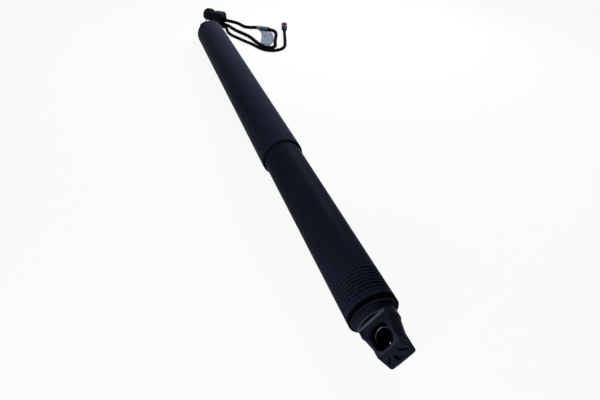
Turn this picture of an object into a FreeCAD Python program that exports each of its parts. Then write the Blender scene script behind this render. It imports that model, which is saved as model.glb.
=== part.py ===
import FreeCAD, Part
import math
import os

# An electric lift strut for a car's tailgate: a motor, a planetary gearbox and a spindle inside two
# telescoping steel tubes, with a ball socket at each end and a cable with two connectors.
# Millimetres. The X axis is the strut's axis. The origin is the centre of the ball that the cable end
# takes, +X runs to the other end, and +Z is up from the table that the strut lies on.

V = FreeCAD.Vector
os.makedirs("parts", exist_ok=True)

# Driving dimensions of the strut. Its length follows from the stroke and from what the tubes hold.
stroke = 150.0
outer_tube_diameter = 38.0
outer_tube_wall = 1.2
tube_space = 0.8
inner_tube_wall = 1.0
inner_tube_overlap = 40.0
inner_tube_stand_out = 24.75
outer_tube_to_ball = 19.5
inner_tube_to_ball = 19.5
tube_edge_round = 0.4

# Clearances
slide_gap = 0.05
seat_gap = 0.05
shaft_gap = 0.03
part_gap = 0.2
gear_gap = 0.07

# Grooves rolled into the inner tube near its end, and the rubber ring that covers its edge
groove_count = 7
groove_pitch = 2.57
groove_width = 1.3
groove_depth = 0.35
groove_setback = 5.6
end_ring_length = 3.0

# Guides between the two tubes
guide_length = 22.0
bush_length = 12.0
wiper_length = 4.0
wiper_lip_length = 1.2
wiper_relief = 0.35
mouth_recess = 0.8
mouth_space = 12.0

# Ball sockets: the plug in the tube, the neck, and the block with the cup
ball_cup_radius = 5.05
plug_to_ball = 22.5
plug_length = 23.0
plug_overlap = 1.0
seal_setback = 5.0
seal_wire = 1.8
neck_space = 2.8
cable_end_neck_radius = 9.7
neck_end = 6.75
neck_step = 10.6
neck_step_round = 0.35
neck_edge_round = 0.6
step_recess_depth = 1.0
step_rim = 0.8
step_bar_radius = 1.2
shoulder_end = 8.0
shoulder_radius = 9.3
socket_face_height = 6.9
socket_face_half_width = 8.6
socket_wide_half_width = 9.7
socket_wide_height = -4.0
socket_back_height = -9.5
socket_back_half_width = 6.0
socket_face_end = 8.9
socket_low_end = 14.2
socket_low_height = -4.5
socket_undercut = 2.2
socket_edge_round = 0.7
socket_tilt_near = 46.0
socket_tilt_far = -53.5
opening_half_width = 7.1
opening_start = -8.2
opening_end = 7.9
opening_corner = 5.3
opening_step_depth = 1.15
opening_step_inset = 0.9
cup_wall_height = 2.9
clip_wire = 0.9
clip_mean_radius = 5.62
clip_room = 0.2
clip_gap = 2.4
pin_hole_diameter = 1.5
pin_hole_depth = 4.0
pin_hole_from_ball = 15.6
pin_hole_turn = -7.0

# The two slots in each block's end face and the recess between them. Points are (across, down the face).
slot_inner = (3.2, 3.8)
slot_outer = (7.5, 7.2)
slot_width = 2.1
slot_depth = 1.8
recess_top_half_width = 1.7
recess_half_width = 2.4
recess_top = 5.9
recess_bottom = 10.6
recess_depth = 1.6

# Motor, from the cable end towards the spindle
motor_lead_space = 6.0
motor_space = 1.5
motor_can_wall = 1.4
motor_can_front = 2.0
motor_cap_length = 5.0
motor_shaft_radius = 1.6
motor_bearing_radius = 3.0
motor_bearing_length = 4.5
motor_bearing_setback = 1.0
motor_boss_radius = 5.5
motor_brush_space = 24.5
motor_front_space = 10.5
rotor_length = 26.0
rotor_space = 0.9
rotor_slots = 10
rotor_slot_depth = 3.2
rotor_tooth_width = 1.07
winding_overhang = 3.2
magnet_thickness = 2.6
commutator_radius = 4.6
commutator_length = 8.0
commutator_setback = 5.0
brush_card_thickness = 1.6
brush_width = 3.8
sensor_board_thickness = 1.0
sensor_magnet_length = 3.5
lead_count = 4
lead_radius = 0.9
lead_orbit = 9.0
lead_angle = 30.0
damper_length = 3.0
damper_lobes = 6

# Gearbox
gear_module = 0.6
sun_teeth = 12
planet_teeth = 18
planet_count = 3
planet_length = 9.0
planet_pin_radius = 1.5
carrier_plate = 3.0
carrier_rim = 2.0
stage_gap = 0.4
pressure_angle = 20.0

# Clutch, bearing, spindle, guide tube and spring
clutch_length = 6.0
clutch_radius = 9.0
clutch_wall = 2.0
clutch_hub_length = 2.5
clutch_disc = 0.9
bearing_bore_radius = 4.0
bearing_outer_radius = 12.0
bearing_width = 8.0
bearing_ball_radius = 1.9
bearing_ball_count = 9
bearing_setback = 1.0
holder_lip = 2.0
spindle_radius = 4.5
spindle_core_radius = 3.7
spindle_collar_radius = 7.0
push_tube_space = 1.5
push_tube_wall = 2.0
push_tube_seat = 8.0
push_tube_in_plug = 12.0
guide_tube_wall = 1.0
guide_tube_flange = 2.5
nut_length = 22.0
nut_park = 7.7
spindle_stop_length = 5.0
spring_wire = 3.0
spring_space = 1.0
spring_turns = 30

# Cables, connectors and label
table_height = -outer_tube_diameter / 2
main_cable_diameter = 5.4
signal_cable_diameter = 4.8
cable_exit_inset = 4.6
main_exit_angle = 0.0
signal_exit_angle = -45.0
grommet_wall = 0.7
grommet_tip_wall = 0.25
grommet_reach = 15.0

# Main connector: it lies on the table and its cable leaves at the end nearer the strut's middle
main_connector_front = (-107.5, 14.8)
main_connector_back = (-75.5, 42.2)
connector_body_radius = 9.0
connector_body_length = 18.0
connector_collar_length = 1.5
connector_rear_half_width = 8.6
connector_rear_half_height = 8.2
connector_rear_length = 18.5
connector_nut_across = -2.8
connector_nut_drop = -2.6
connector_nut_radius = 5.2
connector_nut_end_radius = 3.6
connector_terminal_count = 3
connector_terminal_pitch = 4.0
connector_slot_depth = 9.0

# Signal connector: a small housing with a sliding lock
signal_connector_back = (-3.0, 119.5)
signal_connector_front = (-29.5, 128.0)
signal_half_width = 4.5
signal_half_height = 4.0
signal_rear_length = 4.0
lock_length = 6.0
lock_width = 4.0
lock_thickness = 1.6
lock_travel = 1.5
lock_setback = 5.6
lock_bed = 1.85

# Blank flag label: a film folded round the main cable, and the outline of its flag on the table
label_film = 0.3
label_space = 0.45
label_width = 19.0
label_flag = [(-16.1, 97.0), (-26.0, 86.8), (-14.0, 84.4), (-3.3, 82.0), (11.1, 77.4), (23.7, 72.9),
              (31.5, 71.0), (39.9, 74.6), (46.1, 79.9), (36.8, 87.4), (23.5, 93.1), (6.9, 97.9), (-6.5, 99.9)]

# Places along the X axis and radii that follow from the values above
outer_start = outer_tube_to_ball
outer_radius = outer_tube_diameter / 2
outer_bore = outer_radius - outer_tube_wall
inner_radius = outer_bore - tube_space
inner_bore = inner_radius - inner_tube_wall
far_plug_end = plug_to_ball + plug_length
near_neck_radius = inner_bore - neck_space
cable_exit_radius = outer_bore - cable_exit_inset
grommet_tip = plug_to_ball - grommet_reach
motor_radius = outer_bore - motor_space
can_bore = motor_radius - motor_can_wall
rotor_radius = can_bore - magnet_thickness - rotor_space
motor_start = far_plug_end + motor_lead_space
rotor_start = motor_start + motor_brush_space
commutator_start = rotor_start - commutator_setback - commutator_length
motor_end = rotor_start + rotor_length + motor_front_space
gearbox_start = motor_end + damper_length + part_gap
ring_teeth = sun_teeth + 2 * planet_teeth
sun_pitch_radius = gear_module * sun_teeth / 2
planet_pitch_radius = gear_module * planet_teeth / 2
planet_orbit = sun_pitch_radius + planet_pitch_radius
first_planets = gearbox_start + 2.0
first_carrier = first_planets + planet_length + stage_gap
second_planets = first_carrier + carrier_plate + stage_gap
second_carrier = second_planets + planet_length + stage_gap
gearbox_end = second_carrier + carrier_plate + stage_gap
clutch_start = gearbox_end
holder_start = gearbox_end
clutch_end = clutch_start + clutch_length
bearing_start = clutch_end + bearing_setback
bearing_end = bearing_start + bearing_width
holder_end = bearing_end + holder_lip
guide_tube_start = holder_end
spring_seat = guide_tube_start + guide_tube_flange
push_tube_bore = spindle_radius + push_tube_space
push_tube_radius = push_tube_bore + push_tube_wall
spring_mean_radius = inner_bore - spring_space - spring_wire / 2
guide_tube_radius = spring_mean_radius - spring_wire / 2 - spring_space / 2
guide_tube_bore = guide_tube_radius - guide_tube_wall
nut_start = guide_tube_start + nut_park + stroke
nut_end = nut_start + nut_length
guide_tube_end = nut_end + 2.0
outer_end = guide_tube_end + mouth_space
inner_start = outer_end - inner_tube_overlap
inner_end = outer_end + stroke + inner_tube_stand_out
ball_distance = inner_end + inner_tube_to_ball
near_plug_start = ball_distance - plug_to_ball - plug_length
near_face_to_ball = inner_tube_to_ball - end_ring_length
spindle_end = nut_end + part_gap + spindle_stop_length


def outward(angle):
    """The unit vector across the strut at this angle round its axis, from +Z towards +Y."""
    turn = math.radians(angle)
    return V(0, math.sin(turn), math.cos(turn))


def cylinder(start, end, radius):
    return Part.makeCylinder(radius, end - start, V(start, 0, 0), V(1, 0, 0))


def tube(start, end, radius, bore):
    return cylinder(start, end, radius).cut(cylinder(start - 1, end + 1, bore))


def turned(outline):
    """A solid turned about the X axis from (x, radius) points."""
    points = [V(x, 0, radius) for x, radius in outline]
    face = Part.Face(Part.makePolygon(points + points[:1]))
    return face.revolve(V(0, 0, 0), V(1, 0, 0), 360)


def box(low, high):
    return Part.makeBox(high[0] - low[0], high[1] - low[1], high[2] - low[2], V(*low))


def prism(points, direction):
    return Part.Face(Part.makePolygon(points + points[:1])).extrude(direction)


def joined(shapes):
    whole = shapes[0]
    for shape in shapes[1:]:
        whole = whole.fuse(shape)
    return whole.removeSplitter()


def around(shape, count, start_angle=0.0):
    """Copies of a shape spread evenly about the X axis."""
    copies = []
    for number in range(count):
        copy = shape.copy()
        copy.rotate(V(0, 0, 0), V(1, 0, 0), start_angle + 360.0 * number / count)
        copies.append(copy)
    return copies


def rounded_edges(shape, radius, wanted):
    """Fillets the edges that the test picks."""
    edges = [edge for edge in shape.Edges if wanted(edge)]
    return shape.makeFillet(radius, edges)


def is_round_edge_at(radius):
    def test(edge):
        curve = edge.Curve
        return isinstance(curve, Part.Circle) and abs(curve.Radius - radius) < 1e-4
    return test


# The two tubes and the guides between them

def make_outer_tube():
    shell = tube(outer_start, outer_end, outer_radius, outer_bore)
    return rounded_edges(shell, tube_edge_round, is_round_edge_at(outer_radius))


def make_inner_tube():
    """The tube that slides out, with its grooves near the free end."""
    shell = tube(inner_start, inner_end, inner_radius, inner_bore)
    shell = rounded_edges(shell, tube_edge_round, is_round_edge_at(inner_radius))
    groove_radius = (groove_width ** 2 / 4 + groove_depth ** 2) / (2 * groove_depth)
    ring_centre = inner_radius + groove_radius - groove_depth
    for number in range(groove_count):
        middle = inner_end - groove_setback - number * groove_pitch
        shell = shell.cut(Part.makeTorus(ring_centre, groove_radius, V(middle, 0, 0), V(1, 0, 0)))
    return shell


def make_mouth_bush():
    end = outer_end - mouth_recess - wiper_length
    return tube(end - bush_length, end, outer_bore - seat_gap, inner_radius + slide_gap)


def make_mouth_wiper():
    """A ring with a lip that wipes the inner tube."""
    end = outer_end - mouth_recess
    start = end - wiper_length
    outside = outer_bore - seat_gap
    lip = inner_radius + slide_gap
    relief = lip + wiper_relief
    chamfer = wiper_relief
    front_lip = end - wiper_lip_length
    back_lip = front_lip - wiper_lip_length
    return turned([(start, lip), (start, outside), (end - chamfer, outside), (end, outside - chamfer),
                   (end, lip), (front_lip, lip), (front_lip - wiper_relief, relief), (back_lip, relief),
                   (back_lip - wiper_relief, lip)])


def make_guide_ring():
    """The slide ring on the inner tube's hidden end, which stops against the mouth bush."""
    end = outer_end - mouth_recess - wiper_length - bush_length - part_gap
    return tube(end - guide_length, end, outer_bore - slide_gap, inner_radius + seat_gap)


# Ball sockets. Both are built about the ball's centre with +X away from the tube and +Z out of the cup.

def socket_block():
    """The block that holds the cup, with a slanted end face."""
    start = -neck_step
    section = [
        V(start, -socket_face_half_width, socket_face_height),
        V(start, socket_face_half_width, socket_face_height),
        V(start, socket_wide_half_width, socket_wide_height),
        V(start, socket_back_half_width, socket_back_height),
        V(start, -socket_back_half_width, socket_back_height),
        V(start, -socket_wide_half_width, socket_wide_height),
    ]
    block = prism(section, V(socket_low_end - start, 0, 0))
    slope = (socket_low_end - socket_face_end) / (socket_face_height - socket_low_height)
    far = socket_low_end + 1
    half = socket_wide_half_width + 1
    end_cut = prism([
        V(socket_face_end - slope, -half, socket_face_height + 1),
        V(far, -half, socket_face_height + 1),
        V(far, -half, socket_back_height - 1),
        V(socket_low_end - socket_undercut, -half, socket_back_height - 1),
        V(socket_low_end, -half, socket_low_height),
    ], V(0, 2 * half, 0))
    block = block.cut(end_cut)
    return rounded_edges(block, socket_edge_round, lambda edge: edge.BoundBox.XMax > start + 0.01)


def socket_neck(neck):
    """The round neck, cut back to a flat step, and the shoulder that narrows to the block."""
    stem = cylinder(-plug_to_ball - plug_overlap, -neck_end, neck)
    stem = rounded_edges(stem, neck_edge_round, is_round_edge_at(neck))
    root = neck - neck_edge_round
    shoulder = turned([(-neck_end - 1, 0), (-neck_end - 1, root), (-neck_end, root),
                       (shoulder_end, shoulder_radius), (shoulder_end, 0)])
    above_face = box((-neck_step, -neck - 1, socket_face_height), (shoulder_end + 1, neck + 1, neck + 1))
    body = joined([stem, shoulder]).cut(above_face)
    body = rounded_edges(body, neck_step_round, lambda edge: is_round_edge_at(neck)(edge)
                         and abs(edge.BoundBox.XMin + neck_step) < 0.01)
    bar_top = socket_face_height + step_bar_radius
    recess = cylinder(-neck_step - step_recess_depth, -neck_step + 1, neck - step_rim)
    above_bar = box((-neck_step - 2 * step_recess_depth, -neck, bar_top), (0, neck, neck + 1))
    half_chord = math.sqrt(neck ** 2 - bar_top ** 2)
    bar = Part.makeCylinder(step_bar_radius, 2 * half_chord, V(-neck_step, -half_chord, socket_face_height),
                            V(0, 1, 0))
    return body.cut(recess.common(above_bar)).fuse(bar)


def opening(inset, low):
    """The ball's opening at one level, with rounded corners, cut down from the face."""
    half_width = opening_half_width - inset
    high = socket_face_height + 2 * step_bar_radius
    shape = box((opening_start + inset, -half_width, low), (opening_end - inset / 2, half_width, high))
    return rounded_edges(shape, opening_corner - inset,
                         lambda edge: abs(edge.BoundBox.ZLength - (high - low)) < 1e-6)


def end_face_frame():
    """A point and two directions on the slanted end face: down the face and out of it."""
    down = V(socket_low_end - socket_face_end, 0, socket_low_height - socket_face_height)
    down.normalize()
    out = V(-down.z, 0, down.x)
    return V(socket_face_end, 0, socket_face_height), down, out


def end_face_cut(points, depth):
    """A pocket in the slanted end face. Points are (across, down the face)."""
    corner, down, out = end_face_frame()
    outline = [corner + V(0, across, 0) + down * along + out * 2 for across, along in points]
    return prism(outline, out * -(depth + 2))


def oblique_slot(side):
    """A short slot that runs down from the middle of the end face towards its side."""
    inner_across, inner_down = slot_inner
    outer_across, outer_down = slot_outer
    return end_face_cut([(side * inner_across, inner_down), (side * outer_across, outer_down),
                         (side * outer_across, outer_down + slot_width),
                         (side * inner_across, inner_down + slot_width)], slot_depth)


def end_face_recess():
    """The blind recess between the two slots, a little narrower at its top."""
    corners = [(-recess_top_half_width, recess_top), (recess_top_half_width, recess_top),
               (recess_half_width, recess_bottom), (-recess_half_width, recess_bottom)]
    return end_face_cut(corners, recess_depth)


def ball_cup():
    """The cup: a straight wall above the ball's centre and a half sphere below it."""
    straight = Part.makeCylinder(ball_cup_radius, cup_wall_height + 1, V(0, 0, 0), V(0, 0, 1))
    return straight.fuse(Part.makeSphere(ball_cup_radius))


def clip_groove():
    outer = clip_mean_radius + clip_wire / 2 + clip_room
    return Part.makeCylinder(outer, clip_wire + clip_room, V(0, 0, cup_wall_height), V(0, 0, 1))


def seal_groove_start():
    return -plug_to_ball - plug_length + seal_setback


def pin_hole(neck):
    """A small blind hole in the neck, a little to one side of the cup."""
    hole = Part.makeCylinder(pin_hole_diameter / 2, pin_hole_depth + 1,
                             V(-pin_hole_from_ball, 0, neck - pin_hole_depth), V(0, 0, 1))
    hole.rotate(V(0, 0, 0), V(1, 0, 0), pin_hole_turn)
    return hole


def make_socket(neck, plug_radius, seal_room, face_to_ball):
    """A ball socket with the neck and the plug that closes its tube."""
    plug = cylinder(-plug_to_ball - plug_length, -face_to_ball, plug_radius)
    plug = rounded_edges(plug, tube_edge_round, is_round_edge_at(plug_radius))
    groove_start = seal_groove_start()
    plug = plug.cut(tube(groove_start, groove_start + seal_wire + part_gap, plug_radius + 1,
                         plug_radius - seal_room))
    body = joined([plug, socket_neck(neck), socket_block()])
    cuts = [
        opening(0.0, socket_face_height - opening_step_depth),
        opening(opening_step_inset, cup_wall_height + clip_wire + clip_room),
        clip_groove(),
        ball_cup(),
        oblique_slot(1),
        oblique_slot(-1),
        end_face_recess(),
        pin_hole(neck),
    ]
    for cut in cuts:
        body = body.cut(cut)
    return body


def make_clip():
    """The spring wire ring that holds the ball, open on the side away from the tube."""
    height = cup_wall_height + (clip_wire + clip_room) / 2
    ring = Part.makeTorus(clip_mean_radius, clip_wire / 2, V(0, 0, height), V(0, 0, 1))
    gap = box((0, -clip_gap / 2, height - clip_wire),
              (clip_mean_radius + clip_wire, clip_gap / 2, height + clip_wire))
    return ring.cut(gap)


def make_end_seal(plug_radius, seal_room):
    """The rubber ring in the plug's groove, pressed flat by the tube."""
    start = seal_groove_start() + part_gap / 2
    return tube(start, start + seal_wire, plug_radius, plug_radius - seal_room)


def make_end_ring():
    """The rubber ring round the near plug's face, which covers the inner tube's edge."""
    outside = inner_radius - seat_gap
    ring = tube(-inner_tube_to_ball + part_gap, -near_face_to_ball, outside, inner_bore)
    return rounded_edges(ring, tube_edge_round, is_round_edge_at(outside))


def to_near_end(shape):
    placed = shape.copy()
    placed.rotate(V(0, 0, 0), V(1, 0, 0), socket_tilt_near)
    placed.translate(V(ball_distance, 0, 0))
    return placed


def to_cable_end(shape):
    placed = shape.copy()
    placed.rotate(V(0, 0, 0), V(0, 0, 1), 180)
    placed.rotate(V(0, 0, 0), V(1, 0, 0), socket_tilt_far)
    return placed


# Motor

def make_motor_can():
    start = motor_start + motor_cap_length
    edge_round = 1.0
    nose_length = 3.5
    can = cylinder(start, motor_end, motor_radius)
    can = can.cut(cylinder(start - 1, motor_end - motor_can_front, can_bore))
    can = rounded_edges(can, edge_round, lambda edge: is_round_edge_at(motor_radius)(edge)
                        and edge.BoundBox.XMin > start + 1)
    nose_end = motor_end - motor_can_front / 2
    nose = cylinder(nose_end - nose_length, nose_end, motor_boss_radius)
    return joined([can, nose]).cut(cylinder(start, motor_end + 1, motor_bearing_radius))


def make_motor_cap():
    """The plastic cap that closes the can and carries the rear bearing."""
    floor = 2.5
    spigot_length = 2.5
    ring_wall = 4.5
    boss_length = 6.0
    end = motor_start + motor_cap_length
    cap = cylinder(motor_start, end, motor_radius)
    spigot = cylinder(motor_start + 1, end + spigot_length, can_bore - seat_gap)
    hollow = cylinder(motor_start + floor, end + spigot_length + 1, motor_radius - ring_wall)
    boss = cylinder(motor_start, motor_start + boss_length, motor_boss_radius)
    seat = cylinder(motor_start + motor_bearing_setback - part_gap, end + spigot_length, motor_bearing_radius)
    cap = joined([cap, spigot]).cut(hollow).fuse(boss).cut(seat)
    lead_hole_radius = lead_radius + 0.3
    lead_hole = Part.makeCylinder(lead_hole_radius, floor + 2, V(motor_start - 1, 0, lead_orbit),
                                  V(1, 0, 0))
    for hole in around(lead_hole, lead_count, lead_angle):
        cap = cap.cut(hole)
    return cap


def make_motor_bearings():
    """The plain bearings in the cap and in the can's nose."""
    outside = motor_bearing_radius - seat_gap
    rear = motor_start + motor_bearing_setback
    front_end = motor_end - part_gap
    front = front_end - motor_bearing_length + part_gap
    return [tube(start, end, outside, motor_shaft_radius + shaft_gap)
            for start, end in ((rear, rear + motor_bearing_length), (front, front_end))]


def make_motor_shaft():
    return cylinder(motor_start + motor_bearing_setback, first_carrier - part_gap, motor_shaft_radius)


def make_magnets():
    """Two magnet shells inside the can."""
    overhang = 1.0
    half_gap = 3.0
    outside = can_bore - seat_gap
    start = rotor_start - overhang
    end = rotor_start + rotor_length + overhang
    shell = tube(start, end, outside, outside - magnet_thickness)
    for gap in around(box((start - 1, -half_gap, 0), (end + 1, half_gap, outside + 1)), 2):
        shell = shell.cut(gap)
    return shell


def slot_orbit():
    """How far from the axis the rotor's slots and their windings run."""
    return rotor_radius - rotor_slot_depth


def slot_radius():
    return slot_orbit() * math.sin(math.pi / rotor_slots) - rotor_tooth_width / 2


def make_rotor_core():
    half_mouth = 0.7
    start = rotor_start - 1
    length = rotor_length + 2
    core = tube(rotor_start, rotor_start + rotor_length, rotor_radius, motor_shaft_radius)
    slot = joined([
        box((start, -half_mouth, slot_orbit()), (start + length, half_mouth, rotor_radius + 1)),
        Part.makeCylinder(slot_radius(), length, V(start, 0, slot_orbit()), V(1, 0, 0)),
    ])
    for cut in around(slot, rotor_slots):
        core = core.cut(cut)
    return core


def make_windings():
    """Copper in the rotor's slots, joined by a head at each end of the core."""
    edge_round = 1.0
    insulation = 1.6
    end = rotor_start + rotor_length
    outside = rotor_radius - 1.2
    bar_radius = slot_radius() - 2 * slide_gap
    bar = Part.makeCylinder(bar_radius, rotor_length + 2, V(rotor_start - 1, 0, slot_orbit()), V(1, 0, 0))
    heads = []
    for low, high in ((rotor_start - winding_overhang, rotor_start - part_gap),
                      (end + part_gap, end + winding_overhang)):
        head = tube(low, high, outside, motor_shaft_radius + insulation)
        heads.append(rounded_edges(head, edge_round, is_round_edge_at(outside)))
    return joined(heads + around(bar, rotor_slots))


def make_commutator():
    """Copper bars with a raised flange that the windings are welded to."""
    flange_height = 0.9
    flange_start = 1.5
    flange_end = 1.0
    slit_half_width = 0.15
    slit_depth = 0.7
    end = commutator_start + commutator_length
    body = joined([
        tube(commutator_start, end, commutator_radius, motor_shaft_radius),
        tube(end - flange_start, end + flange_end, commutator_radius + flange_height, motor_shaft_radius),
    ])
    slit = box((commutator_start - 1, -slit_half_width, commutator_radius - slit_depth),
               (end + flange_end + 1, slit_half_width, commutator_radius + flange_height + 1))
    for cut in around(slit, rotor_slots):
        body = body.cut(cut)
    return body


def make_brush_card():
    """The card inside the can, with a holder for each of the two brushes."""
    running_space = 1.2
    holder_wall = 1.1
    half_width = brush_width / 2 + holder_wall
    outside = can_bore - part_gap
    end = commutator_start + brush_card_thickness
    holder_end = end + brush_width + holder_wall + 0.5
    card = tube(commutator_start, end, outside, commutator_radius + running_space)
    holder = box((end, -half_width, commutator_radius + running_space + 0.3),
                 (holder_end, half_width, outside - running_space))
    half_tunnel = (brush_width + part_gap) / 2
    tunnel = box((end + 0.4, -half_tunnel, 0), (end + 0.6 + brush_width, half_tunnel, outside + 1))
    card = joined([card] + around(holder, 2, 90))
    for cut in around(tunnel, 2, 90):
        card = card.cut(cut)
    return card


def make_brushes():
    """Two carbon blocks whose inner ends follow the commutator."""
    length = 6.0
    start = commutator_start + brush_card_thickness + 0.5
    inner = commutator_radius + shaft_gap
    brush = box((start, -brush_width / 2, inner), (start + brush_width, brush_width / 2, inner + length))
    hollow = cylinder(start - 1, start + brush_width + 1, inner)
    return [piece.cut(hollow) for piece in around(brush, 2, 90)]


def make_sensor_magnet():
    """The magnet ring on the rotor's shaft that the board's chip reads."""
    thickness = 3.0
    start = motor_start + motor_cap_length + 1.2
    return tube(start, start + sensor_magnet_length, motor_shaft_radius + thickness, motor_shaft_radius)


def make_sensor_board():
    """The round board with a Hall sensor beside the magnet ring."""
    part_height = 1.0
    hole_radius = 5.6
    start = motor_start + motor_cap_length + 2.6
    face = start + sensor_board_thickness
    outside = can_bore - part_gap - 0.1
    board = tube(start, face, outside, hole_radius)
    chip = box((face, -1.5, hole_radius + 0.6), (face + part_height, 1.5, hole_radius + 3.6))
    plug = box((face, -3.0, -outside + 2.1), (face + part_height, 3.0, -outside + 6.1))
    return joined([board, chip, plug])


def make_motor_leads():
    """Four wires from the plug's inner face to the sensor board."""
    start = far_plug_end + seat_gap
    end = motor_start + motor_cap_length + 2.5
    wire = Part.makeCylinder(lead_radius, end - start, V(start, 0, lead_orbit), V(1, 0, 0))
    return around(wire, lead_count, lead_angle)


def damper(start):
    """A rubber ring with lobes that centres the motor in the tube."""
    ring_space = 0.6
    ring_width = 6.0
    lobe_radius = 1.2
    outside = outer_bore - ring_space
    ring = tube(start, start + damper_length, outside, outside - ring_width)
    lobe = Part.makeCylinder(lobe_radius, damper_length, V(start, 0, outer_bore - lobe_radius - seat_gap),
                             V(1, 0, 0))
    return joined([ring] + around(lobe, damper_lobes))


# Gearbox

def involute_angle(radius, base_radius):
    ratio = max(radius / base_radius, 1.0)
    slope = math.sqrt(ratio ** 2 - 1)
    return slope - math.atan(slope)


def gear_outline(teeth, inner_gear):
    """Corner points (radius, angle) of a spur gear's teeth, with straight steps along each involute."""
    pitch = gear_module * teeth / 2
    base = pitch * math.cos(math.radians(pressure_angle))
    if inner_gear:
        low, high = pitch - gear_module * 0.95, pitch + gear_module * 1.3
        half = math.pi / (2 * teeth) + gear_gap / (2 * pitch)
    else:
        low, high = pitch - gear_module * 1.3, pitch + gear_module
        half = math.pi / (2 * teeth) - gear_gap / (2 * pitch)
    steps = [low] + [max(low, base) + (high - max(low, base)) * part / 3.0 for part in range(4)]
    if base <= low:
        steps = steps[1:]
    at_pitch = involute_angle(pitch, base)
    flank = [(radius, half + at_pitch - involute_angle(radius, base)) for radius in steps]
    points = []
    for tooth in range(teeth):
        middle = 2 * math.pi * tooth / teeth
        points += [(radius, middle - angle) for radius, angle in flank]
        points += [(radius, middle + angle) for radius, angle in reversed(flank)]
    return points


def gear_block(start, length, teeth, inner_gear=False, turn=0.0):
    """A toothed block along X. For the ring gear it is the space that the teeth leave."""
    points = []
    for radius, angle in gear_outline(teeth, inner_gear):
        points.append(V(start, radius * math.sin(angle + turn), radius * math.cos(angle + turn)))
    return prism(points, V(length, 0, 0))


def make_ring_gear():
    """The toothed ring that both stages share, held by the outer tube."""
    wall = 1.0
    lead_in_radius = 8.0
    body = cylinder(gearbox_start, gearbox_end, outer_bore - seat_gap)
    half_pitch = math.pi / ring_teeth
    teeth = gear_block(gearbox_start + wall, gearbox_end - gearbox_start, ring_teeth, True, half_pitch)
    lead_in = cylinder(gearbox_start - 1, gearbox_start + wall + part_gap, lead_in_radius)
    return body.cut(teeth).cut(lead_in)


def make_planet(start, number):
    gear = gear_block(start, planet_length, planet_teeth, False, 0.0)
    gear = gear.cut(cylinder(start - 1, start + planet_length + 1, planet_pin_radius + slide_gap))
    gear.rotate(V(0, 0, 0), V(1, 0, 0), -math.degrees(planet_mesh_angle(number)))
    orbit = outward(360.0 * number / planet_count)
    gear.translate(orbit * planet_orbit)
    return gear


def planet_mesh_angle(number):
    """The turn, from +Z towards +Y, that puts a gap of this planet opposite the sun's tooth at angle 0."""
    orbit = 2 * math.pi * number / planet_count
    return orbit + math.pi + math.pi / planet_teeth + orbit * sun_teeth / planet_teeth


def make_sun(start, end, bore):
    return gear_block(start, end - start, sun_teeth).cut(cylinder(start - 1, end + 1, bore))


def make_planet_pins(plate_start):
    start = plate_start - stage_gap - planet_length
    pin = Part.makeCylinder(planet_pin_radius, planet_length + stage_gap + carrier_plate,
                            V(start, 0, planet_orbit), V(1, 0, 0))
    return around(pin, planet_count)


def carrier_blank(plate_start):
    rim_radius = planet_orbit + planet_pin_radius + carrier_rim
    plate = cylinder(plate_start, plate_start + carrier_plate, rim_radius)
    hole = Part.makeCylinder(planet_pin_radius, carrier_plate + 2, V(plate_start - 1, 0, planet_orbit),
                             V(1, 0, 0))
    for cut in around(hole, planet_count):
        plate = plate.cut(cut)
    return plate


def make_first_carrier():
    """The first stage's carrier, with the second stage's sun gear on its face."""
    bore = 1.0
    sun_start = first_carrier + carrier_plate - stage_gap
    sun = gear_block(sun_start, second_carrier - part_gap - sun_start, sun_teeth)
    return joined([carrier_blank(first_carrier), sun]).cut(cylinder(first_carrier - 1, second_carrier, bore))


def make_second_carrier():
    """The second stage's carrier, with the hub that drives the clutch's discs."""
    hub_radius = 6.0
    hub = cylinder(second_carrier + carrier_plate - stage_gap, clutch_start + clutch_hub_length, hub_radius)
    return joined([carrier_blank(second_carrier), hub])


# Clutch and bearing

def make_clutch_drum():
    """The cup on the spindle that the friction discs drive."""
    floor_length = 1.8
    floor_end = clutch_end + 0.8
    cup_start = clutch_start + clutch_hub_length + part_gap
    cup = tube(cup_start, clutch_end, clutch_radius, clutch_radius - clutch_wall)
    floor = tube(floor_end - floor_length, floor_end, clutch_radius, bearing_bore_radius)
    return joined([cup, floor])


def make_clutch_discs():
    outside = clutch_radius - clutch_wall - part_gap
    bore = bearing_bore_radius + part_gap + 0.1
    first = clutch_start + clutch_hub_length + part_gap
    second = first + clutch_disc + part_gap / 2
    return [tube(start, start + clutch_disc, outside, bore) for start in (first, second)]


def make_bearing_holder():
    """The block that carries the spindle's bearing and closes the gearbox."""
    body = cylinder(holder_start, holder_end, outer_bore - seat_gap)
    body = body.cut(cylinder(holder_start - 1, bearing_start - bearing_setback, clutch_radius + 1.0))
    seat_radius = bearing_outer_radius + shaft_gap
    body = body.cut(cylinder(bearing_start - 2 * bearing_setback, bearing_end, seat_radius))
    return body.cut(cylinder(bearing_start, holder_end + 1, spindle_collar_radius + 1.0))


def bearing_track():
    middle = (bearing_start + bearing_end) / 2
    track = (bearing_bore_radius + bearing_outer_radius) / 2
    return middle, track


def make_bearing_outer_race():
    middle, track = bearing_track()
    race = tube(bearing_start, bearing_end, bearing_outer_radius, track + 1.0)
    return race.cut(Part.makeTorus(track, bearing_ball_radius + shaft_gap, V(middle, 0, 0), V(1, 0, 0)))


def make_bearing_inner_race():
    middle, track = bearing_track()
    race = tube(bearing_start, bearing_end, track - 1.0, bearing_bore_radius + shaft_gap)
    return race.cut(Part.makeTorus(track, bearing_ball_radius + shaft_gap, V(middle, 0, 0), V(1, 0, 0)))


def make_bearing_balls():
    middle, track = bearing_track()
    ball = Part.makeSphere(bearing_ball_radius, V(middle, 0, track))
    return around(ball, bearing_ball_count)


# Spindle, nut, guide tube, push tube and spring

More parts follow.
